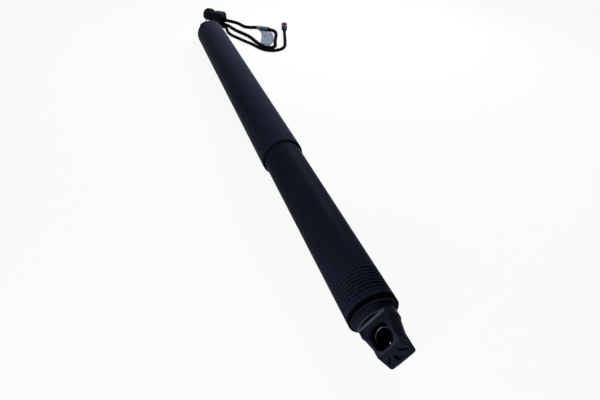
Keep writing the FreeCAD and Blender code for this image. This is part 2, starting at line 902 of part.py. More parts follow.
def make_spindle():
    """The screw, with a journal for the clutch and the bearing. Its thread is a plain cylinder."""
    journal_start = clutch_end - 1.0
    journal_end = holder_end - 0.5
    thread_end = spindle_end - spindle_stop_length
    return turned([(journal_start, 0), (journal_start, bearing_bore_radius),
                   (journal_end, bearing_bore_radius), (journal_end, spindle_radius),
                   (thread_end, spindle_radius), (thread_end, spindle_core_radius),
                   (spindle_end, spindle_core_radius), (spindle_end, 0)])


def make_spindle_collar():
    """The collar that holds the bearing's inner race against the clutch."""
    return tube(bearing_end + seat_gap, bearing_end + holder_lip, spindle_collar_radius,
                spindle_radius + shaft_gap)


def make_spindle_stop():
    return tube(spindle_end - spindle_stop_length, spindle_end - 0.5, push_tube_bore - 2 * slide_gap,
                spindle_core_radius)


def make_spindle_nut():
    """The nut on the spindle, with the push tube seated in its end."""
    body = tube(nut_start, nut_end, guide_tube_bore - 2 * slide_gap, spindle_radius + slide_gap)
    seat = cylinder(nut_end - push_tube_seat, nut_end + 1, push_tube_radius + shaft_gap)
    return body.cut(seat)


def make_push_tube():
    start = nut_end - push_tube_seat
    return tube(start, near_plug_start + push_tube_in_plug, push_tube_radius, push_tube_bore)


def make_guide_tube():
    shell = tube(guide_tube_start, guide_tube_end, guide_tube_radius, guide_tube_bore)
    flange = tube(guide_tube_start, spring_seat, inner_bore - 0.5, guide_tube_bore)
    return joined([shell, flange])


def biarc(start, start_tangent, end, end_tangent):
    """Two arcs that join two points with the given tangents."""
    chord = end - start
    tangents = start_tangent + end_tangent
    spread = 2 * (1 - start_tangent.dot(end_tangent))
    along = chord.dot(tangents)
    leg = (math.sqrt(along ** 2 + spread * chord.dot(chord)) - along) / spread
    first_corner = start + start_tangent * leg
    second_corner = end - end_tangent * leg
    joint = (first_corner + second_corner) * 0.5
    arcs = []
    for low, corner, high in ((start, first_corner, joint), (joint, second_corner, end)):
        middle = (low + high) * 0.5
        cosine = (high - low).Length / 2 / leg
        arcs.append(Part.Arc(low, middle + (corner - middle) * (cosine / (1 + cosine)), high).toShape())
    return arcs


def make_power_spring():
    """One unbroken wire from the guide tube's flange to the near plug, with four biarcs to a turn."""
    start = spring_seat + spring_wire / 2 + part_gap
    end = near_plug_start - spring_wire / 2 - part_gap
    pitch = (end - start) / spring_turns
    slope = pitch / (2 * math.pi * spring_mean_radius)
    steps = 4 * spring_turns
    places = []
    for step in range(steps + 1):
        angle = 360.0 * step / 4
        tangent = outward(angle + 90) + V(slope, 0, 0)
        tangent.normalize()
        places.append((V(start + pitch * step / 4, 0, 0) + outward(angle) * spring_mean_radius, tangent))
    edges = []
    for (low, low_tangent), (high, high_tangent) in zip(places, places[1:]):
        edges += biarc(low, low_tangent, high, high_tangent)
    section = Part.Wire([Part.Circle(places[0][0], places[0][1], spring_wire / 2).toShape()])
    coil = Part.Wire(edges).makePipeShell([section], True, False)
    print("power spring gap between turns", round(pitch - spring_wire, 2), "volume ratio",
          round(coil.Volume / (sum(edge.Length for edge in edges) * math.pi * spring_wire ** 2 / 4), 5))
    return coil


# Cables, grommets, connectors and label

def exit_point(angle, x):
    return V(x, 0, 0) + outward(90 - angle) * cable_exit_radius


def grommet_bore(cable_diameter):
    return cable_diameter / 2 + grommet_wall


def exit_hole(angle, cable_diameter):
    """The room for a grommet, through the plug and past the neck."""
    start = grommet_tip - part_gap
    return Part.makeCylinder(grommet_bore(cable_diameter) + seat_gap, far_plug_end + 1 - start,
                             exit_point(angle, start), V(1, 0, 0))


def make_grommet(angle, cable_diameter):
    """A rubber sleeve through the plug with a tapered end outside, which the cable meets face to face."""
    sleeve = Part.makeCylinder(grommet_bore(cable_diameter), plug_length, exit_point(angle, plug_to_ball),
                               V(1, 0, 0))
    cone = Part.makeCone(cable_diameter / 2 + grommet_tip_wall, grommet_bore(cable_diameter), grommet_reach,
                         exit_point(angle, grommet_tip), V(1, 0, 0))
    return sleeve.fuse(cone).removeSplitter()


def rounded_path(points):
    """Straight runs joined by arcs whose radius fills 0.45 of the shorter run. Returns wire and radii."""
    edges = []
    radii = []
    last = points[0]
    for before, corner, after in zip(points, points[1:], points[2:]):
        back = before - corner
        ahead = after - corner
        reach = 0.45 * min(back.Length, ahead.Length)
        turn = math.pi - back.getAngle(ahead)
        radii.append(reach / math.tan(turn / 2))
        back.normalize()
        ahead.normalize()
        arc_start = corner + back * reach
        arc_end = corner + ahead * reach
        middle = back + ahead
        middle.normalize()
        arc_middle = corner + middle * (radii[-1] / math.cos(turn / 2) - radii[-1])
        edges.append(Part.LineSegment(last, arc_start).toShape())
        edges.append(Part.Arc(arc_start, arc_middle, arc_end).toShape())
        last = arc_end
    edges.append(Part.LineSegment(last, points[-1]).toShape())
    return Part.Wire(edges), radii


def make_cable(name, points, diameter):
    path, radii = rounded_path(points)
    direction = points[1] - points[0]
    section = Part.Wire([Part.Circle(points[0], direction, diameter / 2).toShape()])
    cable = path.makePipeShell([section], True, False)
    expected = path.Length * math.pi * diameter ** 2 / 4
    print(name, "length", round(path.Length, 1), "smallest radii", [round(r, 1) for r in sorted(radii)[:6]],
          "volume ratio", round(cable.Volume / expected, 5))
    return cable


label_before = V(-13.8, 98.8, -15.5)
label_middle = V(-22.7, 90.2, -15.5)
label_after = V(-31.2, 80.8, -15.5)
main_cable_route = [
    exit_point(main_exit_angle, grommet_tip),
    exit_point(main_exit_angle, grommet_tip - 15.0),
    V(-21.0, 12.3, -4.6),
    V(-34.0, 9.6, -10.6),
    V(-47.3, 7.0, -15.1),
    V(-61.0, 8.0, -16.3),
    V(-71.4, 16.2, -16.3),
    V(-72.8, 29.2, -16.3),
    V(-62.8, 39.6, -16.3),
    V(-46.5, 43.3, -16.3),
    V(-29.5, 47.6, -16.3),
    V(-11.5, 55.7, -16.3),
    V(7.0, 61.8, -16.3),
    V(26.0, 63.8, -16.3),
    V(42.5, 67.4, -16.3),
    V(54.6, 71.2, -16.3),
    V(60.0, 79.6, -16.3),
    V(53.8, 87.2, -16.3),
    V(40.5, 90.1, -16.3),
    V(24.0, 96.2, -16.2),
    V(9.0, 102.4, -16.0),
    V(-4.2, 104.2, -15.7),
    label_before,
    label_middle,
    label_after,
    V(-34.2, 70.4, -15.6),
    V(-42.2, 62.2, -15.3),
    V(-53.2, 58.4, -13.8),
    V(-64.564, 47.878, -12.6),
    V(-73.679, 40.073, -12.6),
]
signal_cable_route = [
    exit_point(signal_exit_angle, grommet_tip),
    exit_point(signal_exit_angle, grommet_tip - 13.5),
    V(-18.2, 9.2, -14.4),
    V(-29.2, 9.2, -16.6),
    V(-38.5, 12.8, -16.6),
    V(-49.0, 15.4, -16.6),
    V(-58.2, 21.3, -16.6),
    V(-58.6, 31.0, -16.6),
    V(-50.8, 36.0, -16.6),
    V(-40.2, 35.2, -16.6),
    V(-27.5, 33.6, -16.6),
    V(-13.0, 36.2, -16.6),
    V(3.5, 43.2, -16.6),
    V(20.0, 49.9, -16.6),
    V(34.8, 57.2, -16.6),
    V(49.2, 61.2, -16.6),
    V(62.3, 67.4, -16.6),
    V(69.8, 77.6, -16.6),
    V(69.4, 90.0, -16.6),
    V(61.0, 99.0, -16.6),
    V(47.5, 103.8, -16.6),
    V(29.5, 109.6, -16.4),
    V(12.31, 114.59, -15.0),
    V(-3.0, 119.5, -15.0),
]


def lying(shape, front, back, height):
    """Puts a piece built along +X from its front end on the table, with its back end at the cable."""
    placed = shape.copy()
    angle = math.degrees(math.atan2(back[1] - front[1], back[0] - front[0]))
    placed.rotate(V(0, 0, 0), V(0, 0, 1), angle)
    placed.translate(V(front[0], front[1], height))
    return placed


def rounded_bar(start, end, half_width, half_height, corner):
    bar = box((start, -half_width, -half_height), (end, half_width, half_height))
    return bar.makeFillet(corner, [e for e in bar.Edges if abs(e.BoundBox.XLength - (end - start)) < 1e-6])


def main_connector_length():
    return math.dist(main_connector_front, main_connector_back)


def make_main_connector():
    """A round-nosed housing with a rounded rear part and a latch, closed in front but for its slots."""
    nose_round = 3.0
    collar_depth = 1.6
    rear_corner = 5.5
    rear_round = 3.0
    latch_start = 4.0
    latch_end = 15.0
    latch_half_width = 2.6
    latch_half_height = 0.9
    latch_round = 0.5
    post_start = 8.0
    post_length = 4.0
    post_half_width = 2.0
    slot_half_width = 0.6
    slot_half_height = 2.0
    nose = cylinder(0, connector_body_length, connector_body_radius)
    nose = rounded_edges(nose, nose_round, is_round_edge_at(connector_body_radius))
    rear_start = connector_body_length + connector_collar_length
    rear_end = rear_start + connector_rear_length
    collar = cylinder(connector_body_length - 1, rear_start + 1, connector_body_radius - collar_depth)
    rear = rounded_bar(rear_start, rear_end, connector_rear_half_width, connector_rear_half_height,
                       rear_corner)
    rear = rounded_edges(rear, rear_round, lambda edge: edge.BoundBox.XLength < 0.01)
    latch = rounded_bar(latch_start, latch_end, latch_half_width, latch_half_height, latch_round)
    latch.translate(V(0, 0, connector_body_radius + 0.2))
    post = box((post_start, -post_half_width, 0),
               (post_start + post_length, post_half_width, connector_body_radius))
    body = joined([nose, collar, rear, latch, post])
    for across in terminal_places():
        body = body.cut(box((-1, across - slot_half_width, -slot_half_height),
                            (connector_slot_depth, across + slot_half_width, slot_half_height)))
    return body


def terminal_places():
    middle = (connector_terminal_count - 1) / 2
    return [(number - middle) * connector_terminal_pitch for number in range(connector_terminal_count)]


def make_main_terminals():
    """The contact blades, deep in the housing's slots."""
    start = 3.0
    end = connector_slot_depth - seat_gap
    return [box((start, across - 0.35, -1.5), (end, across + 0.35, 1.5)) for across in terminal_places()]


def make_main_connector_nut():
    """The rear cap that the cable leaves through, low on one side of the housing."""
    edge_round = 0.5
    start = connector_body_length + connector_collar_length + connector_rear_length + part_gap / 2
    cap = Part.makeCone(connector_nut_radius, connector_nut_end_radius, main_connector_length() - start,
                        V(start, connector_nut_across, connector_nut_drop), V(1, 0, 0))
    return rounded_edges(cap, edge_round, is_round_edge_at(connector_nut_radius))


def signal_connector_length():
    return math.dist(signal_connector_front, signal_connector_back)


def make_signal_connector():
    """A small four-way housing with a channel for its lock."""
    length = signal_connector_length()
    shell_half_height = signal_half_height - 0.8
    shell_round = 2.6
    end_round = 2.2
    rear_half_width = signal_half_width - 1.6
    rear_half_height = signal_half_height - 1.3
    rear_round = 1.6
    rail_start = 4.0
    rail_half_width = 3.2
    rail_round = 1.6
    stop_room = 2.8
    back_room = 1.2
    contact_half_width = 0.5
    contact_half_height = 0.4
    contact_depth = 5.0
    front_end = length - signal_rear_length
    lock_end = length - lock_setback
    body = rounded_bar(0, front_end, signal_half_width, shell_half_height, shell_round)
    body = rounded_edges(body, end_round, lambda edge: edge.BoundBox.XLength < 0.01)
    rear = rounded_bar(front_end - 1, length, rear_half_width, rear_half_height, rear_round)
    rail = box((rail_start, -rail_half_width, 0), (lock_end + part_gap, rail_half_width, signal_half_height))
    rail = rounded_edges(rail, rail_round, lambda edge: edge.BoundBox.ZLength < 0.01
                         and edge.BoundBox.ZMax > signal_half_height - 0.01)
    half_channel = (lock_width + part_gap) / 2
    channel = box((lock_end - lock_length - lock_travel - stop_room, -half_channel, lock_bed - seat_gap),
                  (lock_end + back_room, half_channel, signal_half_height + 1))
    body = joined([body, rear, rail]).cut(channel)
    for across in (-2.0, 2.0):
        for up in (-1.6, 0.6):
            body = body.cut(box((-1, across - contact_half_width, up - contact_half_height),
                                (contact_depth, across + contact_half_width, up + contact_half_height)))
    return body


def make_signal_lock():
    """The lock that slides in the small connector's channel."""
    grip_length = 1.4
    grip_height = 0.6
    end = signal_connector_length() - lock_setback
    half_width = lock_width / 2
    bar = box((end - lock_length, -half_width, lock_bed), (end, half_width, lock_bed + lock_thickness))
    grip_top = signal_half_height + grip_height
    grip = box((end - grip_length, -half_width, lock_bed), (end, half_width, grip_top))
    return joined([bar, grip])


def make_label():
    """A film loop round the cable, whose two ends lie together on the table as a flag."""
    along = label_after - label_before
    along.normalize()
    bore = main_cable_diameter / 2 + label_space
    start = label_middle - along * (label_width / 2)
    sleeve = Part.makeCylinder(bore + label_film, label_width, start, along)
    hole = Part.makeCylinder(bore, label_width + 2, start - along, along)
    flag = prism([V(x, y, table_height) for x, y in label_flag], V(0, 0, 2 * label_film))
    return sleeve.fuse(flag).cut(hole).removeSplitter()


def save(name, shape):
    solids = []
    for piece in shape if isinstance(shape, list) else [shape]:
        solids += piece.Solids
    whole = solids[0] if len(solids) == 1 else Part.makeCompound(solids)
    if not whole.isValid():
        print("not valid:", name)
    whole.exportStep("parts/" + name + ".step")
    print(name, len(solids), round(whole.Volume, 1))


def save_tubes():
    save("outer_tube", make_outer_tube())
    save("inner_tube", make_inner_tube())
    save("mouth_bush", make_mouth_bush())
    save("mouth_wiper", make_mouth_wiper())
    save("slide_ring", make_guide_ring())


def save_sockets():
    near_plug_radius = inner_bore - seat_gap
    far_plug_radius = outer_bore - seat_gap
    near = to_near_end(make_socket(near_neck_radius, near_plug_radius, seal_wire, near_face_to_ball))
    seat_end = near_plug_start + push_tube_in_plug + part_gap / 2
    near = near.cut(cylinder(near_plug_start - 1, seat_end, push_tube_radius + shaft_gap))
    save("near_socket", near)
    save("near_clip", to_near_end(make_clip()))
    near_rings = [make_end_seal(near_plug_radius, seal_wire), make_end_ring()]
    save("near_seal", [to_near_end(ring) for ring in near_rings])
    far = to_cable_end(make_socket(cable_end_neck_radius, far_plug_radius, seal_wire / 2, plug_to_ball))
    far = far.cut(exit_hole(main_exit_angle, main_cable_diameter))
    far = far.cut(exit_hole(signal_exit_angle, signal_cable_diameter))
    save("cable_end_socket", far)
    save("cable_end_clip", to_cable_end(make_clip()))
    save("cable_end_seal", to_cable_end(make_end_seal(far_plug_radius, seal_wire / 2)))
    save("main_cable_grommet", make_grommet(main_exit_angle, main_cable_diameter))
    save("signal_cable_grommet", make_grommet(signal_exit_angle, signal_cable_diameter))


def save_motor():
    save("motor_can", make_motor_can())
    save("motor_cap", make_motor_cap())
    save("motor_magnets", make_magnets())
    save("motor_bearings", make_motor_bearings())
    save("motor_shaft", make_motor_shaft())
    save("rotor_core", make_rotor_core())
    save("rotor_windings", make_windings())
    save("commutator", make_commutator())
    save("sensor_magnet", make_sensor_magnet())
    save("brush_card", make_brush_card())
    save("brushes", make_brushes())
    save("sensor_board", make_sensor_board())
    save("motor_leads", make_motor_leads())
    damper_starts = (motor_start - damper_length - part_gap / 2, motor_end + part_gap / 2)
    save("motor_dampers", [damper(start) for start in damper_starts])


def save_gearbox():
    save("ring_gear", make_ring_gear())
    save("sun_gear", make_sun(first_planets - 0.5, first_carrier - part_gap, motor_shaft_radius))
    for number in range(planet_count):
        save("first_planet_" + str(number + 1), make_planet(first_planets, number))
        save("second_planet_" + str(number + 1), make_planet(second_planets, number))
    save("first_carrier", make_first_carrier())
    save("first_planet_pins", make_planet_pins(first_carrier))
    save("second_carrier", make_second_carrier())
    save("second_planet_pins", make_planet_pins(second_carrier))
    save("clutch_drum", make_clutch_drum())
    save("clutch_discs", make_clutch_discs())
    save("bearing_holder", make_bearing_holder())
    save("bearing_outer_race", make_bearing_outer_race())
    save("bearing_inner_race", make_bearing_inner_race())
    save("bearing_balls", make_bearing_balls())


def save_spindle_drive():
    save("spindle", make_spindle())
    save("spindle_collar", make_spindle_collar())
    save("spindle_stop", make_spindle_stop())
    save("spindle_nut", make_spindle_nut())
    save("push_tube", make_push_tube())
    save("guide_tube", make_guide_tube())
    save("power_spring", make_power_spring())


def save_cables():
    save("main_cable", make_cable("main cable", main_cable_route, main_cable_diameter))
    save("signal_cable", make_cable("signal cable", signal_cable_route, signal_cable_diameter))
    height = table_height + connector_body_radius
    ends = (main_connector_front, main_connector_back, height)
    save("main_connector", lying(make_main_connector(), *ends))
    save("main_connector_terminals", [lying(blade, *ends) for blade in make_main_terminals()])
    save("main_connector_nut", lying(make_main_connector_nut(), *ends))
    ends = (signal_connector_front, signal_connector_back, table_height + signal_half_height)
    save("signal_connector", lying(make_signal_connector(), *ends))
    save("signal_connector_lock", lying(make_signal_lock(), *ends))
    save("cable_label", make_label())


save_tubes()
save_sockets()
save_motor()
save_gearbox()
save_spindle_drive()
save_cables()
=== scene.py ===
import math

import bpy
from mathutils import Matrix, Vector


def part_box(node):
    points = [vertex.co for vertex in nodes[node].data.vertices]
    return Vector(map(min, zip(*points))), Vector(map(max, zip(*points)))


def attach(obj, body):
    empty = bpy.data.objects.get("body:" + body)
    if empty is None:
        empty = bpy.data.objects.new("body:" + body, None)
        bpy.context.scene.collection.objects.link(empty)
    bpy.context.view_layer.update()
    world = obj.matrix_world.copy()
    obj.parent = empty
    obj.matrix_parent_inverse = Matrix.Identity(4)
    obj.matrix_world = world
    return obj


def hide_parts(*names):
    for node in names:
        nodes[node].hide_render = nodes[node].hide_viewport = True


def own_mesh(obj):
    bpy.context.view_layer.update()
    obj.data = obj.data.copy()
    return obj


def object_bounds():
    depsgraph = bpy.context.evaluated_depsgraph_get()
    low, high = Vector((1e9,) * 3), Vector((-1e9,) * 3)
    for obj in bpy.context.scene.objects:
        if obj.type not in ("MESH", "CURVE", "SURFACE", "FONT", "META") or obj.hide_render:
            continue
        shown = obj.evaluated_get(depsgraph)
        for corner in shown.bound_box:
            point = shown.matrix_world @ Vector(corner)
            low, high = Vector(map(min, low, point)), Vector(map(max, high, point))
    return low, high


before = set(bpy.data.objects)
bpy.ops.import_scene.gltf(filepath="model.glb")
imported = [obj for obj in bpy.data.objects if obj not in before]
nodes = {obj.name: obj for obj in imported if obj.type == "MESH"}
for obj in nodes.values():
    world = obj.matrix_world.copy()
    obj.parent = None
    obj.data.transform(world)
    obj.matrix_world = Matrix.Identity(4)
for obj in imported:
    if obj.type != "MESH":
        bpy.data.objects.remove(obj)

scene = bpy.context.scene
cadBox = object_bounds()
tableHeight = cadBox[0][2]
print("frame loaded,", len(nodes), "nodes")


# Node helpers. Sizes in materials are in millimetres.

millimetresInMetre = 1000
noiseRoughness = 0.55


def newMaterial(name):
    material = bpy.data.materials.new(name)
    material.use_nodes = True
    tree = material.node_tree
    return material, tree, tree.nodes["Principled BSDF"]


def addNode(tree, kind, values=None, **settings):
    node = tree.nodes.new(kind)
    for key, value in settings.items():
        setattr(node, key, value)
    for key, value in (values or {}).items():
        node.inputs[key].default_value = value
    return node


def placeInMillimetres(tree, stretch=(1, 1, 1)):
    coordinates = addNode(tree, "ShaderNodeTexCoord")
    mapping = addNode(tree, "ShaderNodeMapping")
    mapping.inputs["Scale"].default_value = [millimetresInMetre * part for part in stretch]
    tree.links.new(coordinates.outputs["Object"], mapping.inputs["Vector"])
    return mapping.outputs["Vector"]


def noise(tree, grain, detail=4, stretch=(1, 1, 1)):
    # Clouds with spots the size of the grain. detail is how many times finer clouds are laid over them.
    texture = addNode(tree, "ShaderNodeTexNoise",
                      {"Scale": 1.0 / grain, "Detail": detail, "Roughness": noiseRoughness})
    tree.links.new(placeInMillimetres(tree, stretch), texture.inputs["Vector"])
    return texture.outputs["Fac"]


def spread(tree, source, low, high, newLow, newHigh):
    node = addNode(tree, "ShaderNodeMapRange",
                   {"From Min": low, "From Max": high, "To Min": newLow, "To Max": newHigh})
    tree.links.new(source, node.inputs["Value"])
    return node.outputs["Result"]


def blendColours(tree, factor, first, second):
    node = addNode(tree, "ShaderNodeMix", data_type="RGBA")
    tree.links.new(factor, node.inputs["Factor"])
    for socket, value in (("A", first), ("B", second)):
        entry = [s for s in node.inputs if s.name == socket and s.type == "RGBA"][0]
        if isinstance(value, tuple):
            entry.default_value = (*value, 1)
        else:
            tree.links.new(value, entry)
    return [s for s in node.outputs if s.type == "RGBA"][0]


def addTogether(tree, first, second, share):
    node = addNode(tree, "ShaderNodeMath", operation="MULTIPLY_ADD")
    node.inputs[1].default_value = share
    tree.links.new(second, node.inputs[0])
    tree.links.new(first, node.inputs[2])
    return node.outputs["Value"]


def times(tree, first, second):
    node = addNode(tree, "ShaderNodeMath", operation="MULTIPLY")
    tree.links.new(first, node.inputs[0])
    tree.links.new(second, node.inputs[1])
    return node.outputs["Value"]


def nearTo(tree, value, middle, reach):
    # 1 where the value lies within reach of the middle, otherwise 0.
    node = addNode(tree, "ShaderNodeMath", operation="COMPARE")
    tree.links.new(value, node.inputs[0])
    node.inputs[1].default_value = middle
    node.inputs[2].default_value = reach
    return node.outputs["Value"]


def roughen(tree, shader, height, strength, depth):
    node = addNode(tree, "ShaderNodeBump", {"Strength": strength, "Distance": depth / millimetresInMetre})
    tree.links.new(height, node.inputs["Height"])
    tree.links.new(node.outputs["Normal"], shader.inputs["Normal"])


# Moulded, painted or rubber surfaces: two close colours, a few flecks, uneven gloss and a fine grain.
# The ranges are the stretches of a noise between which a pattern fades in.

speckleLook = {
    "cloudRange": (0.35, 0.65),
    "fleckSize": 2.5,           # in grains
    "fleckRange": (0.62, 0.78),
    "fleckShare": 0.25,
    "glossSize": 0.6,           # in clouds
    "glossRange": (0.3, 0.7),
    "specular": 0.5,
    "tint": (1, 1, 1),
}


def speckled(name, look):
    material, tree, shader = newMaterial(name)
    cloud = spread(tree, noise(tree, look["cloud"]), *speckleLook["cloudRange"], 0, 1)
    colour = blendColours(tree, cloud, look["colour"], look["secondColour"])
    spots = noise(tree, look["grain"] * speckleLook["fleckSize"], detail=2)
    fleck = spread(tree, spots, *speckleLook["fleckRange"], 0, look.get("flecks", speckleLook["fleckShare"]))
    colour = blendColours(tree, fleck, colour, look.get("fleckColour", look["secondColour"]))
    tree.links.new(colour, shader.inputs["Base Color"])
    gloss = spread(tree, noise(tree, look["cloud"] * speckleLook["glossSize"]), *speckleLook["glossRange"],
                   look["roughness"] - look["uneven"], look["roughness"] + look["uneven"])
    tree.links.new(gloss, shader.inputs["Roughness"])
    shader.inputs["Specular IOR Level"].default_value = look.get("specular", speckleLook["specular"])
    shader.inputs["Specular Tint"].default_value = (*look.get("tint", speckleLook["tint"]), 1)
    roughen(tree, shader, noise(tree, look["grain"], detail=3), look["bump"], look["depth"])
    return material


# Finish of the two tubes: a satin blue-black paint over steel. The tube that slides is painted darker as
# painted shade, for the weaker light towards the near end

tubeLook = {
    "outerPaint": {"colour": (0.0122, 0.0155, 0.0300), "dust": (0.0150, 0.0190, 0.0350), "marks": 0.2},
    # painted shade: the inner paint is a darker copy of the outer paint
    "innerPaint": {"colour": (0.0084, 0.0100, 0.0190), "dust": (0.0108, 0.0128, 0.0235), "marks": 0.4},
    "dustSize": 14.0,
    "dustRange": (0.42, 0.8),
    "dustShare": 0.8,
    "rub": (0.018, 0.023, 0.036),
    "streakSize": 1.6,
    "streakStretch": (0.02, 1, 1),
    "streakRange": (0.66, 0.8),
    "streakShine": -0.1,
    "specular": 0.002,
    "tint": (0.60, 0.76, 1.0),
    "roughness": 0.36,
    "uneven": 0.05,
    "glossSize": 9.0,
    "glossRange": (0.3, 0.7),
    "orangePeel": 0.8,
    "grain": 0.18,
    "grainShare": 0.25,
    "bump": 0.35,
    "peelDepth": 0.02,
    "grooves": {
        "toEnd": 5.6,               # from the last groove's middle to the tube's end
        "pitch": 2.57,
        "count": 7,
        "reach": 1.2,               # how far the marks reach past the outer grooves' middles
        # painted shade: the rolled grooves are painted darker, as shade in the recesses
        "grooveShade": (0.0022, 0.0026, 0.0050),
        "grooveShadeShare": 0.85,
        "grooveShadeFade": (0.35, 0.65),
        # painted highlight on the grooves' rims, broken up by patches
        "rimHighlight": (0.026, 0.029, 0.042),
        "rimPlace": 0.72,           # from a groove's middle
        "rimHalfWidth": 0.14,
        "rimHighlightShare": 0.8,
        "rimPatchSize": 2.2,
        "rimPatchStretch": (0.6, 1, 1),
        "rimPatchRange": (0.48, 0.62),
    },
}


def grooveColours(tree, colour):
    # The rolled grooves are painted darker as painted shade, and their rims carry a painted highlight,
    # broken up here and there by patches.
    look = tubeLook["grooves"]
    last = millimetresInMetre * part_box("inner_tube")[1][0] - look["toEnd"]
    first = last - look["pitch"] * (look["count"] - 1)
    parts = addNode(tree, "ShaderNodeSeparateXYZ")
    tree.links.new(placeInMillimetres(tree), parts.inputs["Vector"])
    fromLast = addNode(tree, "ShaderNodeMath", operation="SUBTRACT")
    tree.links.new(parts.outputs["X"], fromLast.inputs[0])
    fromLast.inputs[1].default_value = last
    fromGroove = addNode(tree, "ShaderNodeMath", operation="PINGPONG")
    tree.links.new(fromLast.outputs["Value"], fromGroove.inputs[0])
    fromGroove.inputs[1].default_value = look["pitch"] / 2
    away = fromGroove.outputs["Value"]
    grooved = nearTo(tree, parts.outputs["X"], (first + last) / 2, (last - first) / 2 + look["reach"])
    # patches that break up the painted highlight on the grooves' rims
    highlightPatches = spread(tree, noise(tree, look["rimPatchSize"], stretch=look["rimPatchStretch"]), *look["rimPatchRange"], 0,
                  look["rimHighlightShare"])
    rimHighlight = times(tree, nearTo(tree, away, look["rimPlace"], look["rimHalfWidth"]), highlightPatches)
    # painted shade in the grooves, darkest at their middles
    grooveShade = spread(tree, away, *look["grooveShadeFade"], look["grooveShadeShare"], 0)
    colour = blendColours(tree, times(tree, grooveShade, grooved), colour, look["grooveShade"])
    return blendColours(tree, times(tree, rimHighlight, grooved), colour, look["rimHighlight"])


def tubePaint(name):
    material, tree, shader = newMaterial(name)
    paint = tubeLook[name]
    dust = spread(tree, noise(tree, tubeLook["dustSize"], detail=6), *tubeLook["dustRange"], 0,
                  tubeLook["dustShare"])
    colour = blendColours(tree, dust, paint["colour"], paint["dust"])
    streak = noise(tree, tubeLook["streakSize"], detail=3, stretch=tubeLook["streakStretch"])
    marks = spread(tree, streak, *tubeLook["streakRange"], 0, paint["marks"])
    colour = blendColours(tree, marks, colour, tubeLook["rub"])
    if name == "innerPaint":
        colour = grooveColours(tree, colour)
    tree.links.new(colour, shader.inputs["Base Color"])
    gloss = spread(tree, noise(tree, tubeLook["glossSize"], detail=5), *tubeLook["glossRange"],
                   tubeLook["roughness"] - tubeLook["uneven"], tubeLook["roughness"] + tubeLook["uneven"])
    tree.links.new(addTogether(tree, gloss, marks, tubeLook["streakShine"]), shader.inputs["Roughness"])
    shader.inputs["Specular IOR Level"].default_value = tubeLook["specular"]
    shader.inputs["Specular Tint"].default_value = (*tubeLook["tint"], 1)
    height = addTogether(tree, noise(tree, tubeLook["orangePeel"], detail=2),
                         noise(tree, tubeLook["grain"], detail=2), tubeLook["grainShare"])
    roughen(tree, shader, height, tubeLook["bump"], tubeLook["peelDepth"])
    return material


# Finish of the ball sockets: glass-filled nylon with a fine moulded grain

socketLook = {
    "colour": (0.0068, 0.0080, 0.0140),
    "secondColour": (0.0090, 0.0106, 0.0180),
    "fleckColour": (0.016, 0.019, 0.029),
    "flecks": 0.35,
    "specular": 0.006,
    "tint": (0.65, 0.80, 1.0),
    "cloud": 5.0,
    "roughness": 0.36,
    "uneven": 0.07,
    "grain": 0.22,
    "bump": 0.35,
    "depth": 0.03,
}

# The other finishes that aren't metal

mouldedLooks = {
    "rubber": {
        "colour": (0.0003, 0.0003, 0.0006), "secondColour": (0.0007, 0.0007, 0.0011), "cloud": 4.0,
        "roughness": 0.6, "uneven": 0.08, "grain": 0.3, "bump": 0.3, "depth": 0.03, "specular": 0.002,
    },
    "slidePlastic": {
        "colour": (0.42, 0.40, 0.34), "secondColour": (0.52, 0.50, 0.44), "cloud": 6.0, "roughness": 0.42,
        "uneven": 0.05, "grain": 0.4, "bump": 0.15, "depth": 0.02,
    },
    "gearPlastic": {
        "colour": (0.50, 0.47, 0.38), "secondColour": (0.60, 0.57, 0.47), "cloud": 5.0, "roughness": 0.45,
        "uneven": 0.05, "grain": 0.3, "bump": 0.2, "depth": 0.02,
    },
    "connectorPlastic": {
        "colour": (0.0030, 0.0046, 0.0090), "secondColour": (0.0048, 0.0066, 0.0125), "cloud": 3.0,
        "roughness": 0.4, "uneven": 0.06, "grain": 0.18, "bump": 0.3, "depth": 0.02, "specular": 0.03,
    },
    "signalConnectorPlastic": {
        "colour": (0.016, 0.021, 0.038), "secondColour": (0.023, 0.029, 0.050), "cloud": 2.0,
        "roughness": 0.45, "uneven": 0.05, "grain": 0.2, "bump": 0.2, "depth": 0.02, "specular": 0.05,
    },
    "lockPlastic": {
        "colour": (0.16, 0.032, 0.026), "secondColour": (0.22, 0.045, 0.034), "cloud": 2.0, "roughness": 0.4,
        "uneven": 0.05, "grain": 0.2, "bump": 0.15, "depth": 0.015, "specular": 0.2,
    },
    "board": {
        "colour": (0.01, 0.07, 0.03), "secondColour": (0.015, 0.10, 0.04), "cloud": 3.0, "roughness": 0.35,
        "uneven": 0.08, "grain": 0.5, "bump": 0.2, "depth": 0.02,
    },
    "carbon": {
        "colour": (0.012, 0.012, 0.013), "secondColour": (0.025, 0.025, 0.026), "cloud": 1.5,
        "roughness": 0.55, "uneven": 0.1, "grain": 0.15, "bump": 0.3, "depth": 0.02,
    },
    "magnet": {
        "colour": (0.022, 0.022, 0.024), "secondColour": (0.04, 0.04, 0.043), "cloud": 3.0, "roughness": 0.5,
        "uneven": 0.08, "grain": 0.25, "bump": 0.35, "depth": 0.03,
    },
    "wire": {
        "colour": (0.35, 0.02, 0.015), "secondColour": (0.45, 0.03, 0.02), "cloud": 4.0, "roughness": 0.4,
        "uneven": 0.04, "grain": 0.5, "bump": 0.1, "depth": 0.01,
    },
}

# Turned or drawn metal: fine lines round the axis, with darker patches

